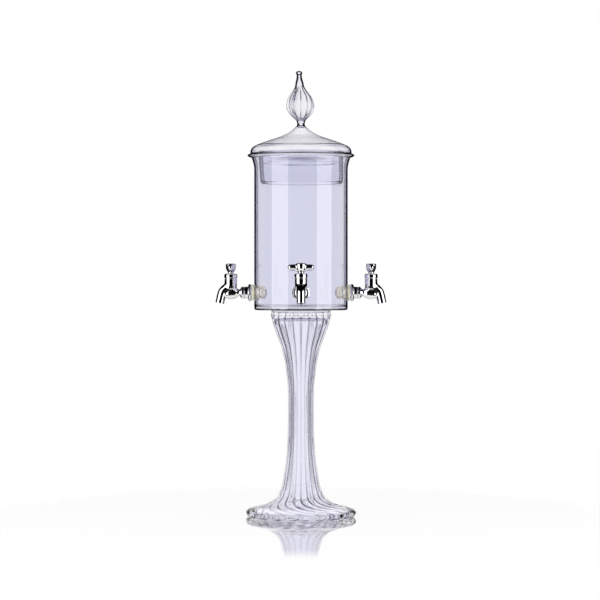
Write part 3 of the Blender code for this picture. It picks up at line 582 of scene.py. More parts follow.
dome_outside = smooth_line(lid_dome_points, 0.0007)
dome_way = np.gradient(dome_outside, axis=0)
dome_way /= np.linalg.norm(dome_way, axis=1, keepdims=True)
dome_inside = dome_outside + lid_wall * np.stack([dome_way[:, 1], -dome_way[:, 0]], axis=1)
dome_inside = dome_inside[(dome_inside[:, 0] > 0.0050) & (dome_inside[:, 1] > 0.4545)][::-1]
lid_line = joined(
    [(0.0, lid_top)],
    dome_outside,
    smooth_line(lid_flange_points, 0.0008),
    smooth_line(lid_skirt_points, 0.0010),
    dome_inside,
    [(0.0030, dome_inside[-1, 1] + 0.0012), (0.0, dome_inside[-1, 1] + 0.0016)],
)
blown_glass = glass_material(
    "blown_glass", (0.955, 0.955, 0.978, 1.0), 1.0, groove_shade_strength=1.0, break_up=0.75, ior=1.22,
    far_share=1.0,
)
lid_edges = np.interp(
    lid_line[:, 1], (0.4455, 0.4530, 0.4620, 0.4640, 0.4860, 0.4885),
    (0.0028, 0.0028, 0.0030, 0.0010, 0.0010, 0.0030),
)
lid = turned_piece("lid_glass", lid_line, lid_steps, hand_finished_lid, 60.0, lid_shade_rings, lid_edges)
lid.data.materials.append(blown_glass)
fitted(lid, "lid", "clear_glass", "lid")

# The finial
# A solid gather pressed into a reeded drop and pulled out to a fine tip, where the glass was
# nipped off and melted into a bead. It is welded to the neck of the lid while hot.

finial_low, finial_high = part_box("finial")
finial_base = finial_low.z
finial_top = finial_high.z
finial_reeds = 12
finial_outline_points = (
    (0.0, finial_top), (0.0022, finial_top - 0.0004), (0.0039, finial_top - 0.0020),
    (0.0040, finial_top - 0.0034), (0.0032, finial_top - 0.0052), (0.0033, 0.5498), (0.0036, 0.5475),
    (0.0045, 0.5440), (0.0052, 0.5410), (0.0058, 0.5375), (0.0078, 0.5337), (0.0104, 0.5300),
    (0.0133, 0.5263), (0.0155, 0.5225), (0.0169, 0.5187), (0.0177, 0.5150), (0.0179, 0.5115),
    (0.0166, 0.5075), (0.0145, 0.5037), (0.0112, 0.5000), (0.0074, 0.4965), (0.0056, 0.4945),
    (0.0049, finial_base), (0.0, finial_base),
)
finial_lean = -math.tan(math.radians(2.1))


def reeded_finial(radius, angle, height):
    """Presses twelve reeds into the drop, fading them out towards the bead and the neck."""
    lobe = np.sqrt(np.sin(angle * finial_reeds / 2.0) ** 2 + 0.03)
    lobe = (lobe - 0.1732) / (1.0149 - 0.1732)
    fade = eased(height, 0.4945, 0.4995) * (1.0 - eased(height, 0.5320, 0.5400))
    radius = radius * (1.0 - 0.085 * fade * (1.0 - lobe))
    spin = 0.10 * eased(height, 0.4940, 0.5400)
    x = radius * np.cos(angle + spin) + (height - finial_base) * finial_lean
    y = radius * np.sin(angle + spin)
    return np.hypot(x, y), np.arctan2(y, x), height


def finial_shade_lines(radius, angle, height):
    """Painted shade: short dark strokes in the valleys, where the reeds start and end."""
    turn = np.arange(radius.shape[1]) * (math.tau / radius.shape[1])
    valley = 1.0 - np.abs(np.sin(turn * finial_reeds / 2.0))[None, :]
    upper = eased(height, 0.5150, 0.5230) * (1.0 - eased(height, 0.5290, 0.5350))
    lower = eased(height, 0.4960, 0.4990) * (1.0 - eased(height, 0.5030, 0.5080))
    reeded = (height < 0.5380) * (height > 0.4945)
    return eased(valley, 0.45, 1.0) * (0.30 + 0.9 * upper + 0.6 * lower) * reeded


finial_line = joined(
    smooth_line(finial_outline_points[:6], 0.0006),
    smooth_line(finial_outline_points[5:23], 0.0012),
    [finial_outline_points[-1]],
)
finial_line[0, 0] = 0.0
solid_glass = glass_material(
    "solid_glass", (0.870, 0.870, 0.905, 1.0), 1.0, groove_shade_strength=2.2, break_up=0.5, ior=1.25
)
finial_edges = np.interp(
    finial_line[:, 1], (0.4960, 0.5010, 0.5240, 0.5300, 0.5360), (0.0020, 0.0007, 0.0009, 0.0021, 0.0024)
)
finial = turned_piece(
    "finial_glass", finial_line, finial_reeds * 14, reeded_finial, 70.0, finial_shade_lines, finial_edges
)
finial.data.materials.append(solid_glass)
fitted(finial, "lid", "clear_glass", "finial")

# The tap bodies
# Each is one zinc casting, polished and chrome-plated: an upright barrel over a round belly, a
# spout that curves out and down, and a shank with a flange, cut with a thread past the flange.

metal_colour = (0.80, 0.80, 0.82, 1.0)
body_cell = 0.00042
shank_radius = 0.0043
thread_pitch = 0.0010
thread_depth = 0.00045
wall_x = tank_radius - tap_reach
flange_x = wall_x + 0.0037
shank_end_x = wall_x - 0.0156
barrel_top = 0.0172
chamber_radius = 0.0045
mouth_radius = 0.0040
mouth_depth = 0.0075
barrel_form = (
    (0.0, barrel_top), (0.0078, barrel_top), (0.0078, 0.0085), (0.0068, 0.0050),
    (0.0052, 0.0022), (0.0, 0.0010),
)
shank_form = (
    (0.0, 0.0), (0.0039, 0.0), (0.0039, flange_x + 0.0148), (0.0062, flange_x + 0.0127),
    (0.0072, flange_x + 0.0119), (0.0073, flange_x + 0.0112), (0.0073, flange_x + 0.0093),
    (0.0069, flange_x + 0.0090), (0.0065, flange_x + 0.0089), (0.0065, flange_x + 0.0085),
    (0.0069, flange_x + 0.0084), (0.0073, flange_x + 0.0081), (0.0073, flange_x + 0.0040),
    (0.0094, flange_x + 0.0036), (0.0106, flange_x + 0.0026), (0.0106, flange_x + 0.0009),
    (0.0098, flange_x), (0.0, flange_x),
)
spout_points = (
    (0.0000, 0.0, 0.0095), (0.0032, 0.0, 0.0072), (0.0068, 0.0, 0.0045), (0.0100, 0.0, 0.0012),
    (0.0118, 0.0, -0.0040), (0.0130, 0.0, -0.0090), (0.0139, 0.0, -0.0132),
)


def form_distance(radius, height, outline):
    """Signed distance from a turned form, given as a closed outline. It is negative inside."""
    nearest = np.full(radius.shape, np.inf)
    side = np.ones(radius.shape)
    for (r0, h0), (r1, h1) in zip(outline, outline[1:] + outline[:1]):
        er, eh = r1 - r0, h1 - h0
        wr, wh = radius - r0, height - h0
        part = np.clip((wr * er + wh * eh) / max(er * er + eh * eh, 1e-18), 0.0, 1.0)
        nearest = np.minimum(nearest, (wr - part * er) ** 2 + (wh - part * eh) ** 2)
        above, below, left = height >= h0, height < h1, er * wh > eh * wr
        crosses = (above & below & left) | (~above & ~below & ~left)
        side = np.where(crosses, -side, side)
    return side * np.sqrt(nearest)


def mirrored_form(outline):
    """The outline and its mirror image across the axis, so that the axis isn't a wall."""
    outer = [point for point in outline if point[0] > 0.0]
    return tuple([(-radius, height) for radius, height in reversed(outer)] + outer)


def rod_distance(points, line, radii):
    """Signed distance from a round rod along a line, with a radius for each of its points."""
    nearest = np.full(points.shape[:-1], np.inf)
    for start, end, thick, thin in zip(line[:-1], line[1:], radii[:-1], radii[1:]):
        way = end - start
        part = np.clip(((points - start) @ way) / (way @ way), 0.0, 1.0)
        gap = np.linalg.norm(points - start - part[..., None] * way, axis=-1)
        nearest = np.minimum(nearest, gap - thick - part * (thin - thick))
    return nearest


def egg_distance(points, centre, halves):
    """Signed distance, near the surface, from an egg with three half sizes."""
    share = (points - centre) / halves
    reach = np.linalg.norm(share, axis=-1)
    slope = np.maximum(np.linalg.norm(share / halves, axis=-1), 1e-9)
    return reach * (reach - 1.0) / slope


def blended(first, second, fillet):
    """The union of two forms, with a fillet where they meet."""
    share = np.clip(0.5 + 0.5 * (second - first) / fillet, 0.0, 1.0)
    return second + (first - second) * share - fillet * share * (1.0 - share)


def cast_mesh(name, distance, low, high, cell):
    """The skin of a form given by its signed distance: a quad for each grid edge that crosses it,
    with the corners evened out and pulled on to the form, and its true normals."""
    low, high = np.asarray(low), np.asarray(high)
    counts = np.ceil((high - low) / cell).astype(int) + 1
    axes = [low[way] + cell * np.arange(counts[way]) for way in range(3)]
    value = distance(np.stack(np.meshgrid(*axes, indexing="ij"), axis=-1))
    inside = value < 0.0
    filled = sum(
        inside[i:counts[0] - 1 + i, j:counts[1] - 1 + j, k:counts[2] - 1 + k].astype(int)
        for i in (0, 1) for j in (0, 1) for k in (0, 1)
    )
    crossed = (filled > 0) & (filled < 8)
    number = np.full(crossed.shape, -1)
    number[crossed] = np.arange(crossed.sum())
    points = low + cell * (np.argwhere(crossed) + 0.5)
    quads = []
    for way in range(3):
        ahead = np.roll(inside, -1, axis=way)
        edge = inside != ahead
        edge[tuple(slice(-1, None) if axis == way else slice(None) for axis in range(3))] = False
        one, two = [axis for axis in range(3) if axis != way]
        places = np.argwhere(edge)
        places = places[(places[:, one] > 0) & (places[:, two] > 0)]
        back_one, back_two = np.zeros(3, int), np.zeros(3, int)
        back_one[one], back_two[two] = 1, 1
        corners = [places, places - back_one, places - back_one - back_two, places - back_two]
        quad = np.stack([number[tuple(corner.T)] for corner in corners], axis=1)
        leaving = inside[tuple(places.T)]
        if way == 1:
            leaving = ~leaving
        quads.append(np.where(leaving[:, None], quad, quad[:, ::-1]))
    quads = np.vstack(quads)

    def slope(at):
        step = cell * 0.1
        parts = []
        for way in range(3):
            shift = np.zeros(3)
            shift[way] = step
            parts.append((distance(at + shift) - distance(at - shift)) / (2.0 * step))
        return np.stack(parts, axis=-1)

    def pulled(at):
        uphill = slope(at)
        length = np.maximum((uphill ** 2).sum(axis=-1, keepdims=True), 0.05)
        return at - np.clip(distance(at)[:, None] * uphill / length, -cell, cell)

    for turn in range(3):
        points = pulled(points)
    near = np.concatenate([quads[:, [0, 1]], quads[:, [1, 2]], quads[:, [2, 3]], quads[:, [3, 0]]])
    for turn in range(4):
        total = np.zeros_like(points)
        count = np.zeros(len(points))
        np.add.at(total, near[:, 0], points[near[:, 1]])
        np.add.at(total, near[:, 1], points[near[:, 0]])
        np.add.at(count, near[:, 0], 1.0)
        np.add.at(count, near[:, 1], 1.0)
        points = pulled(0.5 * points + 0.5 * total / count[:, None])
    mesh = bpy.data.meshes.new(name)
    mesh.from_pydata(points.tolist(), [], quads.tolist())
    mesh.validate()
    mesh.shade_smooth()
    normals = slope(points)
    normals /= np.maximum(np.linalg.norm(normals, axis=1, keepdims=True), 1e-9)
    mesh.normals_split_custom_set_from_vertices(normals.tolist())
    return mesh


spout_line = smooth_line(spout_points, 0.0012)
spout_radii = np.linspace(0.0060, 0.0054, len(spout_line))
mouth = spout_line[-1]
mouth_way = (spout_line[-1] - spout_line[-2]) / np.linalg.norm(spout_line[-1] - spout_line[-2])
barrel_loop = mirrored_form(barrel_form)
shank_loop = mirrored_form(shank_form)


def tap_body_distance(points):
    """The casting as signed distance: x runs out from the reservoir and z up the barrel."""
    x, y, z = points[..., 0], points[..., 1], points[..., 2]
    barrel = form_distance(np.hypot(x, y), z, barrel_loop)
    belly = egg_distance(points, np.array([-0.0006, 0.0, -0.0002]), np.array([0.0104, 0.0059, 0.0080]))
    spout = rod_distance(points, spout_line, spout_radii)
    shank = form_distance(np.hypot(y, z), x, shank_loop)
    solid = blended(blended(barrel, belly, 0.0022), spout, 0.0016)
    solid = blended(solid, shank, 0.0012)
    beyond = (points - mouth) @ mouth_way
    solid = np.maximum(solid, beyond)
    deep = mouth - mouth_way * mouth_depth
    bore_line = np.array([deep, mouth + mouth_way * mouth_depth])
    bore = rod_distance(points, bore_line, (mouth_radius, mouth_radius))
    chamber = np.maximum(np.hypot(x, y) - chamber_radius, 0.0040 - z)
    return np.maximum(np.maximum(solid, -bore), -chamber)


def plated_group():
    """Bright chrome plate that has been handled: faint smudges dull it here and there."""
    group, given, out = node_group(
        "handled_plate",
        {"Colour": metal_colour, "Smudge Colour": metal_colour, "Polish": 0.03, "Smudge": 0.04},
        ("Colour", "Roughness", "Height"),
    )
    noise = noise_texture(group, 160.0, (1.0, 1.0, 1.0), 4.0)
    mask = ramped(group, noise, 0.48, 0.70)
    fill(group, out, {
        "Colour": mixed_colour(group, mask, given["Colour"], given["Smudge Colour"]),
        "Roughness": maths(group, "MULTIPLY_ADD", mask, given["Smudge"], given["Polish"]),
        "Height": noise,
    })
    return group


handled_plate = plated_group()


def metal_material(name, colour, smudge_colour, polish, smudge):
    """Metal under the handled plate group."""
    made, tree, shader = new_material(name)
    plate = added(tree, "Group", {
        "Colour": colour, "Smudge Colour": smudge_colour, "Polish": polish, "Smudge": smudge,
    }, node_tree=handled_plate).outputs
    bump = added(tree, "Bump", {"Strength": 0.02, "Distance": 0.0002, "Height": plate["Height"]})
    fill(tree, shader, {
        "Metallic": 1.0, "Base Color": plate["Colour"], "Roughness": plate["Roughness"],
        "Normal": bump.outputs["Normal"],
    })
    return made


bright_chrome = metal_material("bright_chrome", metal_colour, (0.72, 0.72, 0.74, 1.0), 0.03, 0.04)
thread_end_x = flange_x + 0.0015
thread_rows = int((thread_end_x - shank_end_x) / 0.00017)


def threaded_shank(radius, angle, height):
    """A helical thread that runs out at the chamfered end and under the flange."""
    turn = height / thread_pitch + angle / math.tau
    wave = np.abs((turn % 1.0) * 2.0 - 1.0)
    full = eased(height, shank_end_x, shank_end_x + 0.0012)
    full = full * (1.0 - eased(height, wall_x + 0.0010, wall_x + 0.0022))
    chamfer = 0.0006 * (1.0 - eased(height, shank_end_x, shank_end_x + 0.0006))
    cut = thread_depth * (1.0 - wave) * full + chamfer
    return np.where(radius > shank_radius * 0.9, radius - cut, radius), angle, height


def shank_piece(name):
    bore = 0.0018
    outline = joined(
        np.linspace((shank_radius, shank_end_x), (shank_radius, thread_end_x), thread_rows),
        [(bore, thread_end_x), (bore, shank_end_x)],
    )
    piece = turned_piece(name, outline, 40, threaded_shank, 80.0)
    piece.data.transform(along_x)
    return piece


def mesh_alone(piece, material):
    """The mesh of a piece that was only made to be shared, with its material."""
    mesh = piece.data
    mesh.materials.append(material)
    bpy.data.objects.remove(piece, do_unlink=True)
    return mesh


def at_each_tap(suffix, mesh, slot, node, on_handle=False):
    """Stands a mesh made round a barrel's axis in its place at all four taps."""
    for tap, turn in tap_turns.items():
        piece = bpy.data.objects.new(tap + suffix, mesh)
        bpy.context.scene.collection.objects.link(piece)
        piece.location = (tap_reach * math.cos(turn), tap_reach * math.sin(turn), shank_height)
        piece.rotation_euler = (0.0, 0.0, turn)
        fitted(piece, tap + "_handle" if on_handle else "fountain", slot, *[tap + part for part in node])


along_x = Vector((1.0, 0.0, 0.0)).to_track_quat("Z", "Y").to_matrix().to_4x4()
tap_body_mesh = cast_mesh(
    "tap_body_casting", tap_body_distance, (flange_x - 0.001, -0.0118, -0.0160),
    (0.0215, 0.0118, barrel_top + 0.001), body_cell,
)
tap_body_mesh.materials.append(bright_chrome)
shank_mesh = mesh_alone(shank_piece("tap_shank"), bright_chrome)
at_each_tap("_tap_casting", tap_body_mesh, "tap_chrome", ["_tap_body"])
at_each_tap("_shank_thread", shank_mesh, "tap_chrome", [])

# The bonnet nuts
# A turned, plated cap screws on to each barrel and holds the spindle down. It is a little wider
# than the barrel, with a rounded shoulder and a fine line where it meets the casting.

bonnet_base = barrel_top + 0.0003
bonnet_top = bonnet_base + 0.0060
bonnet_radius = 0.0082
spindle_hole = 0.00245
bonnet_line = joined(
    [(spindle_hole, bonnet_top - 0.0003), (spindle_hole + 0.0003, bonnet_top)],
    round_corner(bonnet_radius - 0.0017, bonnet_top - 0.0017, 0.0017, 90.0, 0.0, 9),
    [(bonnet_radius, bonnet_base + 0.0014), (bonnet_radius - 0.00035, bonnet_base + 0.0010)],
    [(bonnet_radius - 0.0004, bonnet_base + 0.0002), (bonnet_radius - 0.0006, bonnet_base)],
    [(chamber_radius - 0.0003, bonnet_base), (chamber_radius - 0.0003, 0.0114)],
    [(spindle_hole, 0.0114), (spindle_hole, bonnet_base), (0.00395, bonnet_base)],
    [(0.00395, bonnet_base + 0.0018), (spindle_hole, bonnet_base + 0.0018)],
)
bonnet_mesh = mesh_alone(turned_piece("bonnet_turning", bonnet_line, 72, None, 34.0), bright_chrome)
at_each_tap("_bonnet", bonnet_mesh, "tap_chrome", ["_bonnet_nut"])

# The handles
# Each is a small plated casting: a cup-shaped hub with two arms that droop slightly and swell to
# round ends, webbed underneath so that a finger can push them round.

hub_low, hub_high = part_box("front_handle")
hub_base = hub_low.z - shank_height
hub_top = hub_high.z - shank_height
handle_cell = 0.00036
hub_form = (
    (0.0, hub_top), (0.0048, hub_top), (0.0058, hub_top - 0.0004), (0.0063, hub_top - 0.0014),
    (0.0063, hub_top - 0.0046), (0.0059, hub_top - 0.0068), (0.0048, hub_top - 0.0090),
    (0.0040, hub_top - 0.0104), (0.0037, hub_base + 0.0008), (0.0036, hub_base), (0.0, hub_base),
)
arm_points = (
    (0.0, 0.0, hub_top - 0.0043), (0.0, 0.0060, hub_top - 0.0042), (0.0, 0.0100, hub_top - 0.0045),
    (0.0, 0.0126, hub_top - 0.0050),
)
arm_radii = (0.0027, 0.0028, 0.0031, 0.0035)
web_points = ((0.0, 0.0, hub_top - 0.0078), (0.0, 0.0052, hub_top - 0.0072), (0.0, 0.0110, hub_top - 0.0056))
web_radii = (0.0022, 0.0020, 0.0016)
hub_loop = mirrored_form(hub_form)
arm_line = smooth_line(arm_points, 0.0014)
arm_thickness = np.interp(arm_line[:, 1], [point[1] for point in arm_points], arm_radii)


def handle_distance(points):
    """The T handle as signed distance. Both arms are one arm seen in the mirror."""
    folded = points.copy()
    folded[..., 1] = np.abs(folded[..., 1])
    hub = form_distance(np.hypot(points[..., 0], points[..., 1]), points[..., 2], hub_loop)
    arm = rod_distance(folded, arm_line, arm_thickness)
    web = rod_distance(folded, np.array(web_points), web_radii)
    solid = blended(blended(hub, arm, 0.0012), web, 0.0022)
    radius = np.hypot(points[..., 0], points[..., 1])
    recess = np.maximum(radius - 0.0030, hub_top - 0.0016 - points[..., 2])
    socket = np.maximum(radius - spindle_hole, points[..., 2] - hub_top + 0.0036)
    screw_hole = radius - 0.0015
    return np.maximum(np.maximum(solid, -recess), np.maximum(-socket, -screw_hole))


handle_mesh = cast_mesh(
    "handle_casting", handle_distance, (-0.0074, -0.0172, hub_base - 0.0008),
    (0.0074, 0.0172, hub_top + 0.0008), handle_cell,
)
handle_mesh.materials.append(bright_chrome)
at_each_tap("_handle_casting", handle_mesh, "tap_chrome", ["_handle"], on_handle=True)

# The handle screws
# A slotted pan-head screw, plated like the handle, sits in the recess on top of each hub and
# holds it on the spindle.

screw_head_base = hub_top - 0.0013
screw_head_radius = 0.0026
screw_slot_half = 0.00032
screw_slot_depth = 0.0006
screw_line = joined(
    [(0.0, screw_head_base + 0.0014)],
    round_corner(0.0, screw_head_base + 0.0014 - 0.0060, 0.0060, 88.0, 71.0, 6),
    round_corner(screw_head_radius - 0.0006, screw_head_base + 0.0006, 0.0006, 60.0, -90.0, 7),
    [(0.0012, screw_head_base), (0.0012, hub_top - 0.0080), (0.0, hub_top - 0.0080)],
)


def slotted(radius, angle, height):
    """Presses a straight slot across the head."""
    across = np.abs(radius * np.sin(angle))
    head = height > screw_head_base + 0.0003
    drop = screw_slot_depth * (1.0 - eased(across, screw_slot_half, screw_slot_half + 0.00012)) * head
    return radius, angle, height - drop


screw_rows = joined(*[smooth_line(screw_line[at:at + 2], 0.00016) for at in range(len(screw_line) - 1)])
screw = turned_piece("handle_screw_turning", screw_rows, 72, slotted, 38.0)
screw_mesh = mesh_alone(screw, bright_chrome)
at_each_tap("_screw", screw_mesh, "tap_chrome", ["_handle_screw"], on_handle=True)

# The washers
# Two discs of soft cream silicone clamp the glass at each tap. The outer one carries a collar that
# lines the hole, and both have taken the curve of the tube they are pressed against.

washer_colour = (0.72, 0.70, 0.58, 1.0)
washer_hole = shank_radius + 0.0003
fit_gap = 0.0003
outer_disc_radius = 0.0099
inner_disc_radius = 0.0091
inner_disc_length = 0.0042
inner_disc_back_radius = 0.0079
soft_corner = 0.0008
fine_corner = 0.0004
outer_washer_line = joined(
    [(washer_hole, flange_x - fit_gap)],
    round_corner(outer_disc_radius - soft_corner, flange_x - fit_gap - soft_corner, soft_corner, 90.0, 0.0, 6),
    round_corner(outer_disc_radius - fine_corner, wall_x + fit_gap + fine_corner, fine_corner, 0.0, -90.0, 4),
    np.linspace((0.0088, wall_x + fit_gap), (shank_hole_radius, wall_x + fit_gap), 4),
    [(washer_hole + 0.0011, wall_x + 0.0001), (washer_hole + 0.0011, wall_x - tank_wall)],
    [(washer_hole, wall_x - tank_wall)],
)
inner_face = wall_x - tank_wall - fit_gap
inner_back = inner_face - inner_disc_length
inner_washer_line = joined(
    [(washer_hole, inner_face)],
    np.linspace((0.0055, inner_face), (0.0087, inner_face), 4),
    round_corner(inner_disc_radius - fine_corner, inner_face - fine_corner, fine_corner, 90.0, -10.0, 5),
    round_corner(inner_disc_back_radius - 0.0005, inner_back + 0.0005, 0.0005, -10.0, -90.0, 5),
    [(washer_hole, inner_back)],
)


def moulded_group():
    """Moulded rubber or nylon: cloudy colour with a fine matt grain."""
    group, given, out = node_group(
        "moulded_cloud",
        {"Colour": washer_colour, "Cloud Colour": washer_colour, "Cloud Scale": 220.0, "Gloss": 0.35},
        ("Colour", "Roughness", "Height"),
    )
    cloud = noise_texture(group, given["Cloud Scale"], (1.0, 1.0, 1.0), 3.0)
    grain = noise_texture(group, 2600.0, (1.0, 1.0, 1.0), 1.0)
    mask = ramped(group, cloud, 0.40, 0.66)
    fill(group, out, {
        "Colour": mixed_colour(group, mask, given["Colour"], given["Cloud Colour"]),
        "Roughness": maths(group, "MULTIPLY_ADD", grain, 0.15, given["Gloss"]),
        "Height": grain,
    })
    return group


moulded_cloud = moulded_group()


def moulded_material(name, colour, cloud_colour, cloud_scale, gloss, glow):
    """Rubber or nylon under the moulded cloud group, which glows a little inside."""
    made, tree, shader = new_material(name)
    cloud = added(tree, "Group", {
        "Colour": colour, "Cloud Colour": cloud_colour, "Cloud Scale": cloud_scale, "Gloss": gloss,
    }, node_tree=moulded_cloud).outputs
    bump = added(tree, "Bump", {"Strength": 0.15, "Distance": 0.0001, "Height": cloud["Height"]})
    fill(tree, shader, {
        "Subsurface Weight": glow, "Subsurface Radius": (1.0, 0.8, 0.6), "Subsurface Scale": 0.003,
        "Base Color": cloud["Colour"], "Roughness": cloud["Roughness"], "Normal": bump.outputs["Normal"],
    })
    return made


def pressed_to(face_x, back_x, curve):
    """Bends a washer lying along X so that its face follows the tube, and its back stays flat."""
    def bend(piece):
        for corner in piece.data.vertices:
            x, y, z = corner.co
            share = min(1.0, max(0.0, (x - back_x) / (face_x - back_x)))
            corner.co.x = x + share * (math.sqrt(curve * curve - y * y) - curve)
        return piece
    return bend


def washer_mesh(name, outline, bend, material):
    piece = turned_piece(name, outline, 72, None, 45.0)
    piece.data.transform(along_x)
    return mesh_alone(bend(piece), material)


silicone = moulded_material("cream_silicone", washer_colour, (0.60, 0.58, 0.47, 1.0), 240.0, 0.30, 0.35)
outer_bend = pressed_to(wall_x + fit_gap, flange_x - fit_gap, tank_radius)
outer_washer_mesh = washer_mesh("outer_washer_moulding", outer_washer_line, outer_bend, silicone)
inner_bend = pressed_to(inner_face, inner_back, tank_bore)
inner_washer_mesh = washer_mesh("inner_washer_moulding", inner_washer_line, inner_bend, silicone)
at_each_tap("_outer_disc", outer_washer_mesh, "washer_silicone", ["_outer_washer"])
at_each_tap("_inner_disc", inner_washer_mesh, "washer_silicone", ["_inner_washer"])

# The lock nuts
# Hexagon nuts moulded in cream nylon draw each shank tight from inside the reservoir. Their
# corners are taken off on both faces.

nut_colour = (0.92, 0.83, 0.64, 1.0)
nut_length = 0.0068
nut_corner_radius = 0.0078
nut_face = inner_back - fit_gap
nut_back = nut_face - nut_length
nut_flats = 0.0134
nut_rows = joined(
    [(washer_hole, nut_face - 0.0004), (washer_hole + 0.0004, nut_face)],
    np.linspace((0.0058, nut_face), (nut_corner_radius, nut_face - 0.0008), 5),
    np.linspace((nut_corner_radius, nut_face - 0.0009), (nut_corner_radius, nut_back + 0.0009), 4),
    np.linspace((nut_corner_radius, nut_back + 0.0008), (0.0058, nut_back), 5),
    [(washer_hole + 0.0004, nut_back), (washer_hole, nut_back + 0.0004)],
)


def hexagonal(radius, angle, height):
    """Limits the turned blank to six flats."""
    flat = (nut_flats / 2.0) / np.cos((angle + math.pi / 6.0) % (math.pi / 3.0) - math.pi / 6.0)
    return np.minimum(radius, flat), angle, height


nylon = moulded_material("cream_nylon", nut_colour, (0.80, 0.76, 0.65, 1.0), 180.0, 0.28, 0.20)
nut = turned_piece("lock_nut_moulding", nut_rows, 96, hexagonal, 24.0)
nut.data.transform(along_x)
at_each_tap("_nut", mesh_alone(nut, nylon), "nut_plastic", ["_lock_nut"])

# The spindles and their seals
# A brass spindle rises through each bonnet nut under an O-ring and presses a rubber washer on the
# seat. They are hidden in the barrel, so the frame's own solids stand for them.

spindle_brass = metal_material("turned_brass", (0.72, 0.55, 0.28, 1.0), (0.50, 0.36, 0.18, 1.0), 0.22, 0.15)
seal_rubber = moulded_material(
    "black_rubber", (0.03, 0.03, 0.03, 1.0), (0.045, 0.045, 0.042, 1.0), 300.0, 0.55, 0.0
)
inner_parts = (("spindle", spindle_brass), ("o_ring", seal_rubber), ("valve_washer", seal_rubber))
for tap in tap_names:
    for kind, material in inner_parts:
        inner = frame["nodes"][tap + "_" + kind]
        inner.data.materials.clear()
        inner.data.materials.append(material)

# The studio
# The fountain stands on a pale polished table against white, between two tall soft boxes that
# leave the metal black in the middle and at its edges.

scene = bpy.context.scene
scene.view_settings.view_transform = "Standard"
camera_distance = 2.80
camera_height = 0.292
frame_width = 0.750
camera_data = bpy.data.cameras.new("camera")
camera_data.sensor_width = 36.0
camera_data.lens = camera_data.sensor_width * camera_distance / frame_width
camera = bpy.data.objects.new("camera", camera_data)
camera.location = (-0.0012, -camera_distance, camera_height)
horizon_rise = 17.0 / 600.0 * frame_width
camera.rotation_euler = (math.pi / 2.0 - math.atan(horizon_rise / camera_distance), 0.0, 0.0)
scene.collection.objects.link(camera)
scene.camera = camera


def soft_box(name, azimuth, distance, width, height, middle, strength):
    """A tall area lamp that faces the fountain. The azimuth is counted from the camera's side."""
    data = bpy.data.lights.new(name, "AREA")
    data.shape = "RECTANGLE"
    data.size = width
    data.size_y = height
    data.energy = strength * width * height * math.pi
    lamp = bpy.data.objects.new(name, data)
    turn = math.radians(azimuth)
    lamp.location = (distance * math.sin(turn), -distance * math.cos(turn), middle)
    lamp.rotation_euler = (math.pi / 2.0, 0.0, turn)
    lamp.visible_camera = False
    lamp.visible_transmission = False
    scene.collection.objects.link(lamp)
    return lamp


soft_box("left_soft_box", -53.0, 1.5, 1.22, 1.9, 0.45, 2.4)
soft_box("right_soft_box", 59.0, 1.5, 1.12, 1.9, 0.45, 2.4)

world = bpy.data.worlds.new("studio")
scene.world = world
world.use_nodes = True
sky = world.node_tree
path = added(sky, "LightPath").outputs
way = added(sky, "TexCoord").outputs["Generated"]
way_up = added(sky, "SeparateXYZ", {0: way}).outputs["Z"]


def sky_light(strength, colour=(1.0, 1.0, 1.0, 1.0)):
    return added(sky, "Background", {"Color": colour, "Strength": strength}).outputs[0]


def sky_choice(kind_of_ray, otherwise, chosen):
    """One sky for a kind of ray and another for all the rest."""
    return added(sky, "MixShader", {"Fac": path[kind_of_ray], 1: otherwise, 2: chosen}).outputs[0]


# Through the glass the backdrop is white. It is darker where light has been turned back inside
# the glass again and again, or leaves it steeply up or down, past the backdrop's edge.
turned_steps = (
    (0.0, (1.0, 1.0, 1.0)), (0.2, (0.84, 0.83, 0.90)), (0.4, (0.66, 0.65, 0.74)), (0.6, (0.42, 0.41, 0.50)),
    (1.0, (0.15, 0.14, 0.20)),
)
turned_back = added(sky, "ValToRGB", {"Fac": maths(sky, "MULTIPLY", path["Glossy Depth"], 0.2)})
marks = turned_back.color_ramp.elements
for place, colour in turned_steps[1:-1]:
    marks.new(place).color = colour + (1.0,)
marks[0].color = turned_steps[0][1] + (1.0,)
marks[-1].color = turned_steps[-1][1] + (1.0,)
steepness = ramped(sky, maths(sky, "ABSOLUTE", way_up), 0.30, 0.75, smooth=True)
past_edge = mixed_colour(sky, steepness, turned_back.outputs["Color"], (0.52, 0.51, 0.58, 1.0), "MULTIPLY")
lit_inside = sky_choice("Diffuse Depth", sky_light(1.0, past_edge), sky_light(2.0))

# Metal and the skin of the glass mirror a dark room, as in the photo, with only the soft boxes in
# it.
lit = sky_choice("Is Glossy Ray", sky_light(0.71), sky_light(0.02))
lit = sky_choice("Is Transmission Ray", lit, lit_inside)
lit = sky_choice("Is Camera Ray", lit, sky_light(1.0))
sky.links.new(lit, sky.nodes["World Output"].inputs["Surface"])

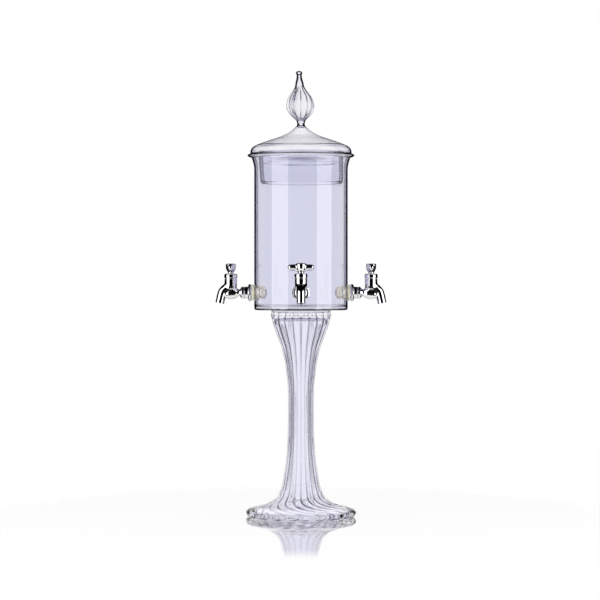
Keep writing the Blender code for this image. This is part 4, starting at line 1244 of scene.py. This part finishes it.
table_reach = 0.60
table_edge = 0.44
floor_mesh = bpy.data.meshes.new("table")
floor_mesh.from_pydata(
    [
        (-table_reach, -table_reach, 0.0), (table_reach, -table_reach, 0.0),
        (table_reach, table_reach, 0.0), (-table_reach, table_reach, 0.0),
    ],
    [], [(0, 1, 2, 3)],
)
floor = bpy.data.objects.new("table", floor_mesh)
scene.collection.objects.link(floor)
table, tree, polish = new_material("polished_table")
fill(tree, polish, {
    "Base Color": (1.0, 1.0, 1.0, 1.0), "Roughness": 0.04, "IOR": 1.40, "Coat Weight": 1.0,
    "Coat Roughness": 0.03,
})
place = added(tree, "TexCoord").outputs["Object"]
reach = added(tree, "VectorMath", {0: place}, operation="LENGTH").outputs["Value"]
faded = added(tree, "MixShader", {
    "Fac": ramped(tree, reach, 0.34, table_edge, smooth=True), 1: polish.outputs["BSDF"],
    2: added(tree, "BsdfTransparent").outputs["BSDF"],
})
fill(tree, tree.nodes["Material Output"], {"Surface": faded.outputs[0]})
floor_mesh.materials.append(table)

# The backdrop
# A white surround that lights only the table and the pedestal, so that the table stays white
# where it mirrors the empty studio. To the metal and the other glass it looks black.

dome_radius = 4.0
dome_angles = np.linspace(0.0, math.tau, 33)[:-1]
dome_tilts = np.radians(np.linspace(-4.0, 86.0, 13))
dome_rings = [(dome_radius * math.cos(tilt), dome_radius * math.sin(tilt)) for tilt in dome_tilts]
dome_points = [
    (ring * math.cos(turn), ring * math.sin(turn), height)
    for ring, height in dome_rings for turn in dome_angles
]
dome_faces = [
    (row * 32 + col, row * 32 + (col + 1) % 32, (row + 1) * 32 + (col + 1) % 32, (row + 1) * 32 + col)
    for row in range(12) for col in range(32)
]
dome_mesh = bpy.data.meshes.new("backdrop")
dome_mesh.from_pydata(dome_points, [], dome_faces)
dome = bpy.data.objects.new("backdrop", dome_mesh)
scene.collection.objects.link(dome)
glow, tree, unlit = new_material("white_backdrop")
tree.nodes.remove(unlit)
white_card = added(tree, "Emission", {"Color": (1.0, 1.0, 1.0, 1.0)})
fill(tree, tree.nodes["Material Output"], {"Surface": white_card.outputs[0]})
dome_mesh.materials.append(glow)
dome.visible_camera = False
dome.visible_diffuse = False
dome.visible_transmission = False
dome.visible_volume_scatter = False
dome.visible_shadow = False
lit_by_dome = bpy.data.collections.new("lit_by_backdrop")
lit_by_dome.objects.link(floor)
lit_by_dome.objects.link(pedestal)
dome.light_linking.receiver_collection = lit_by_dome
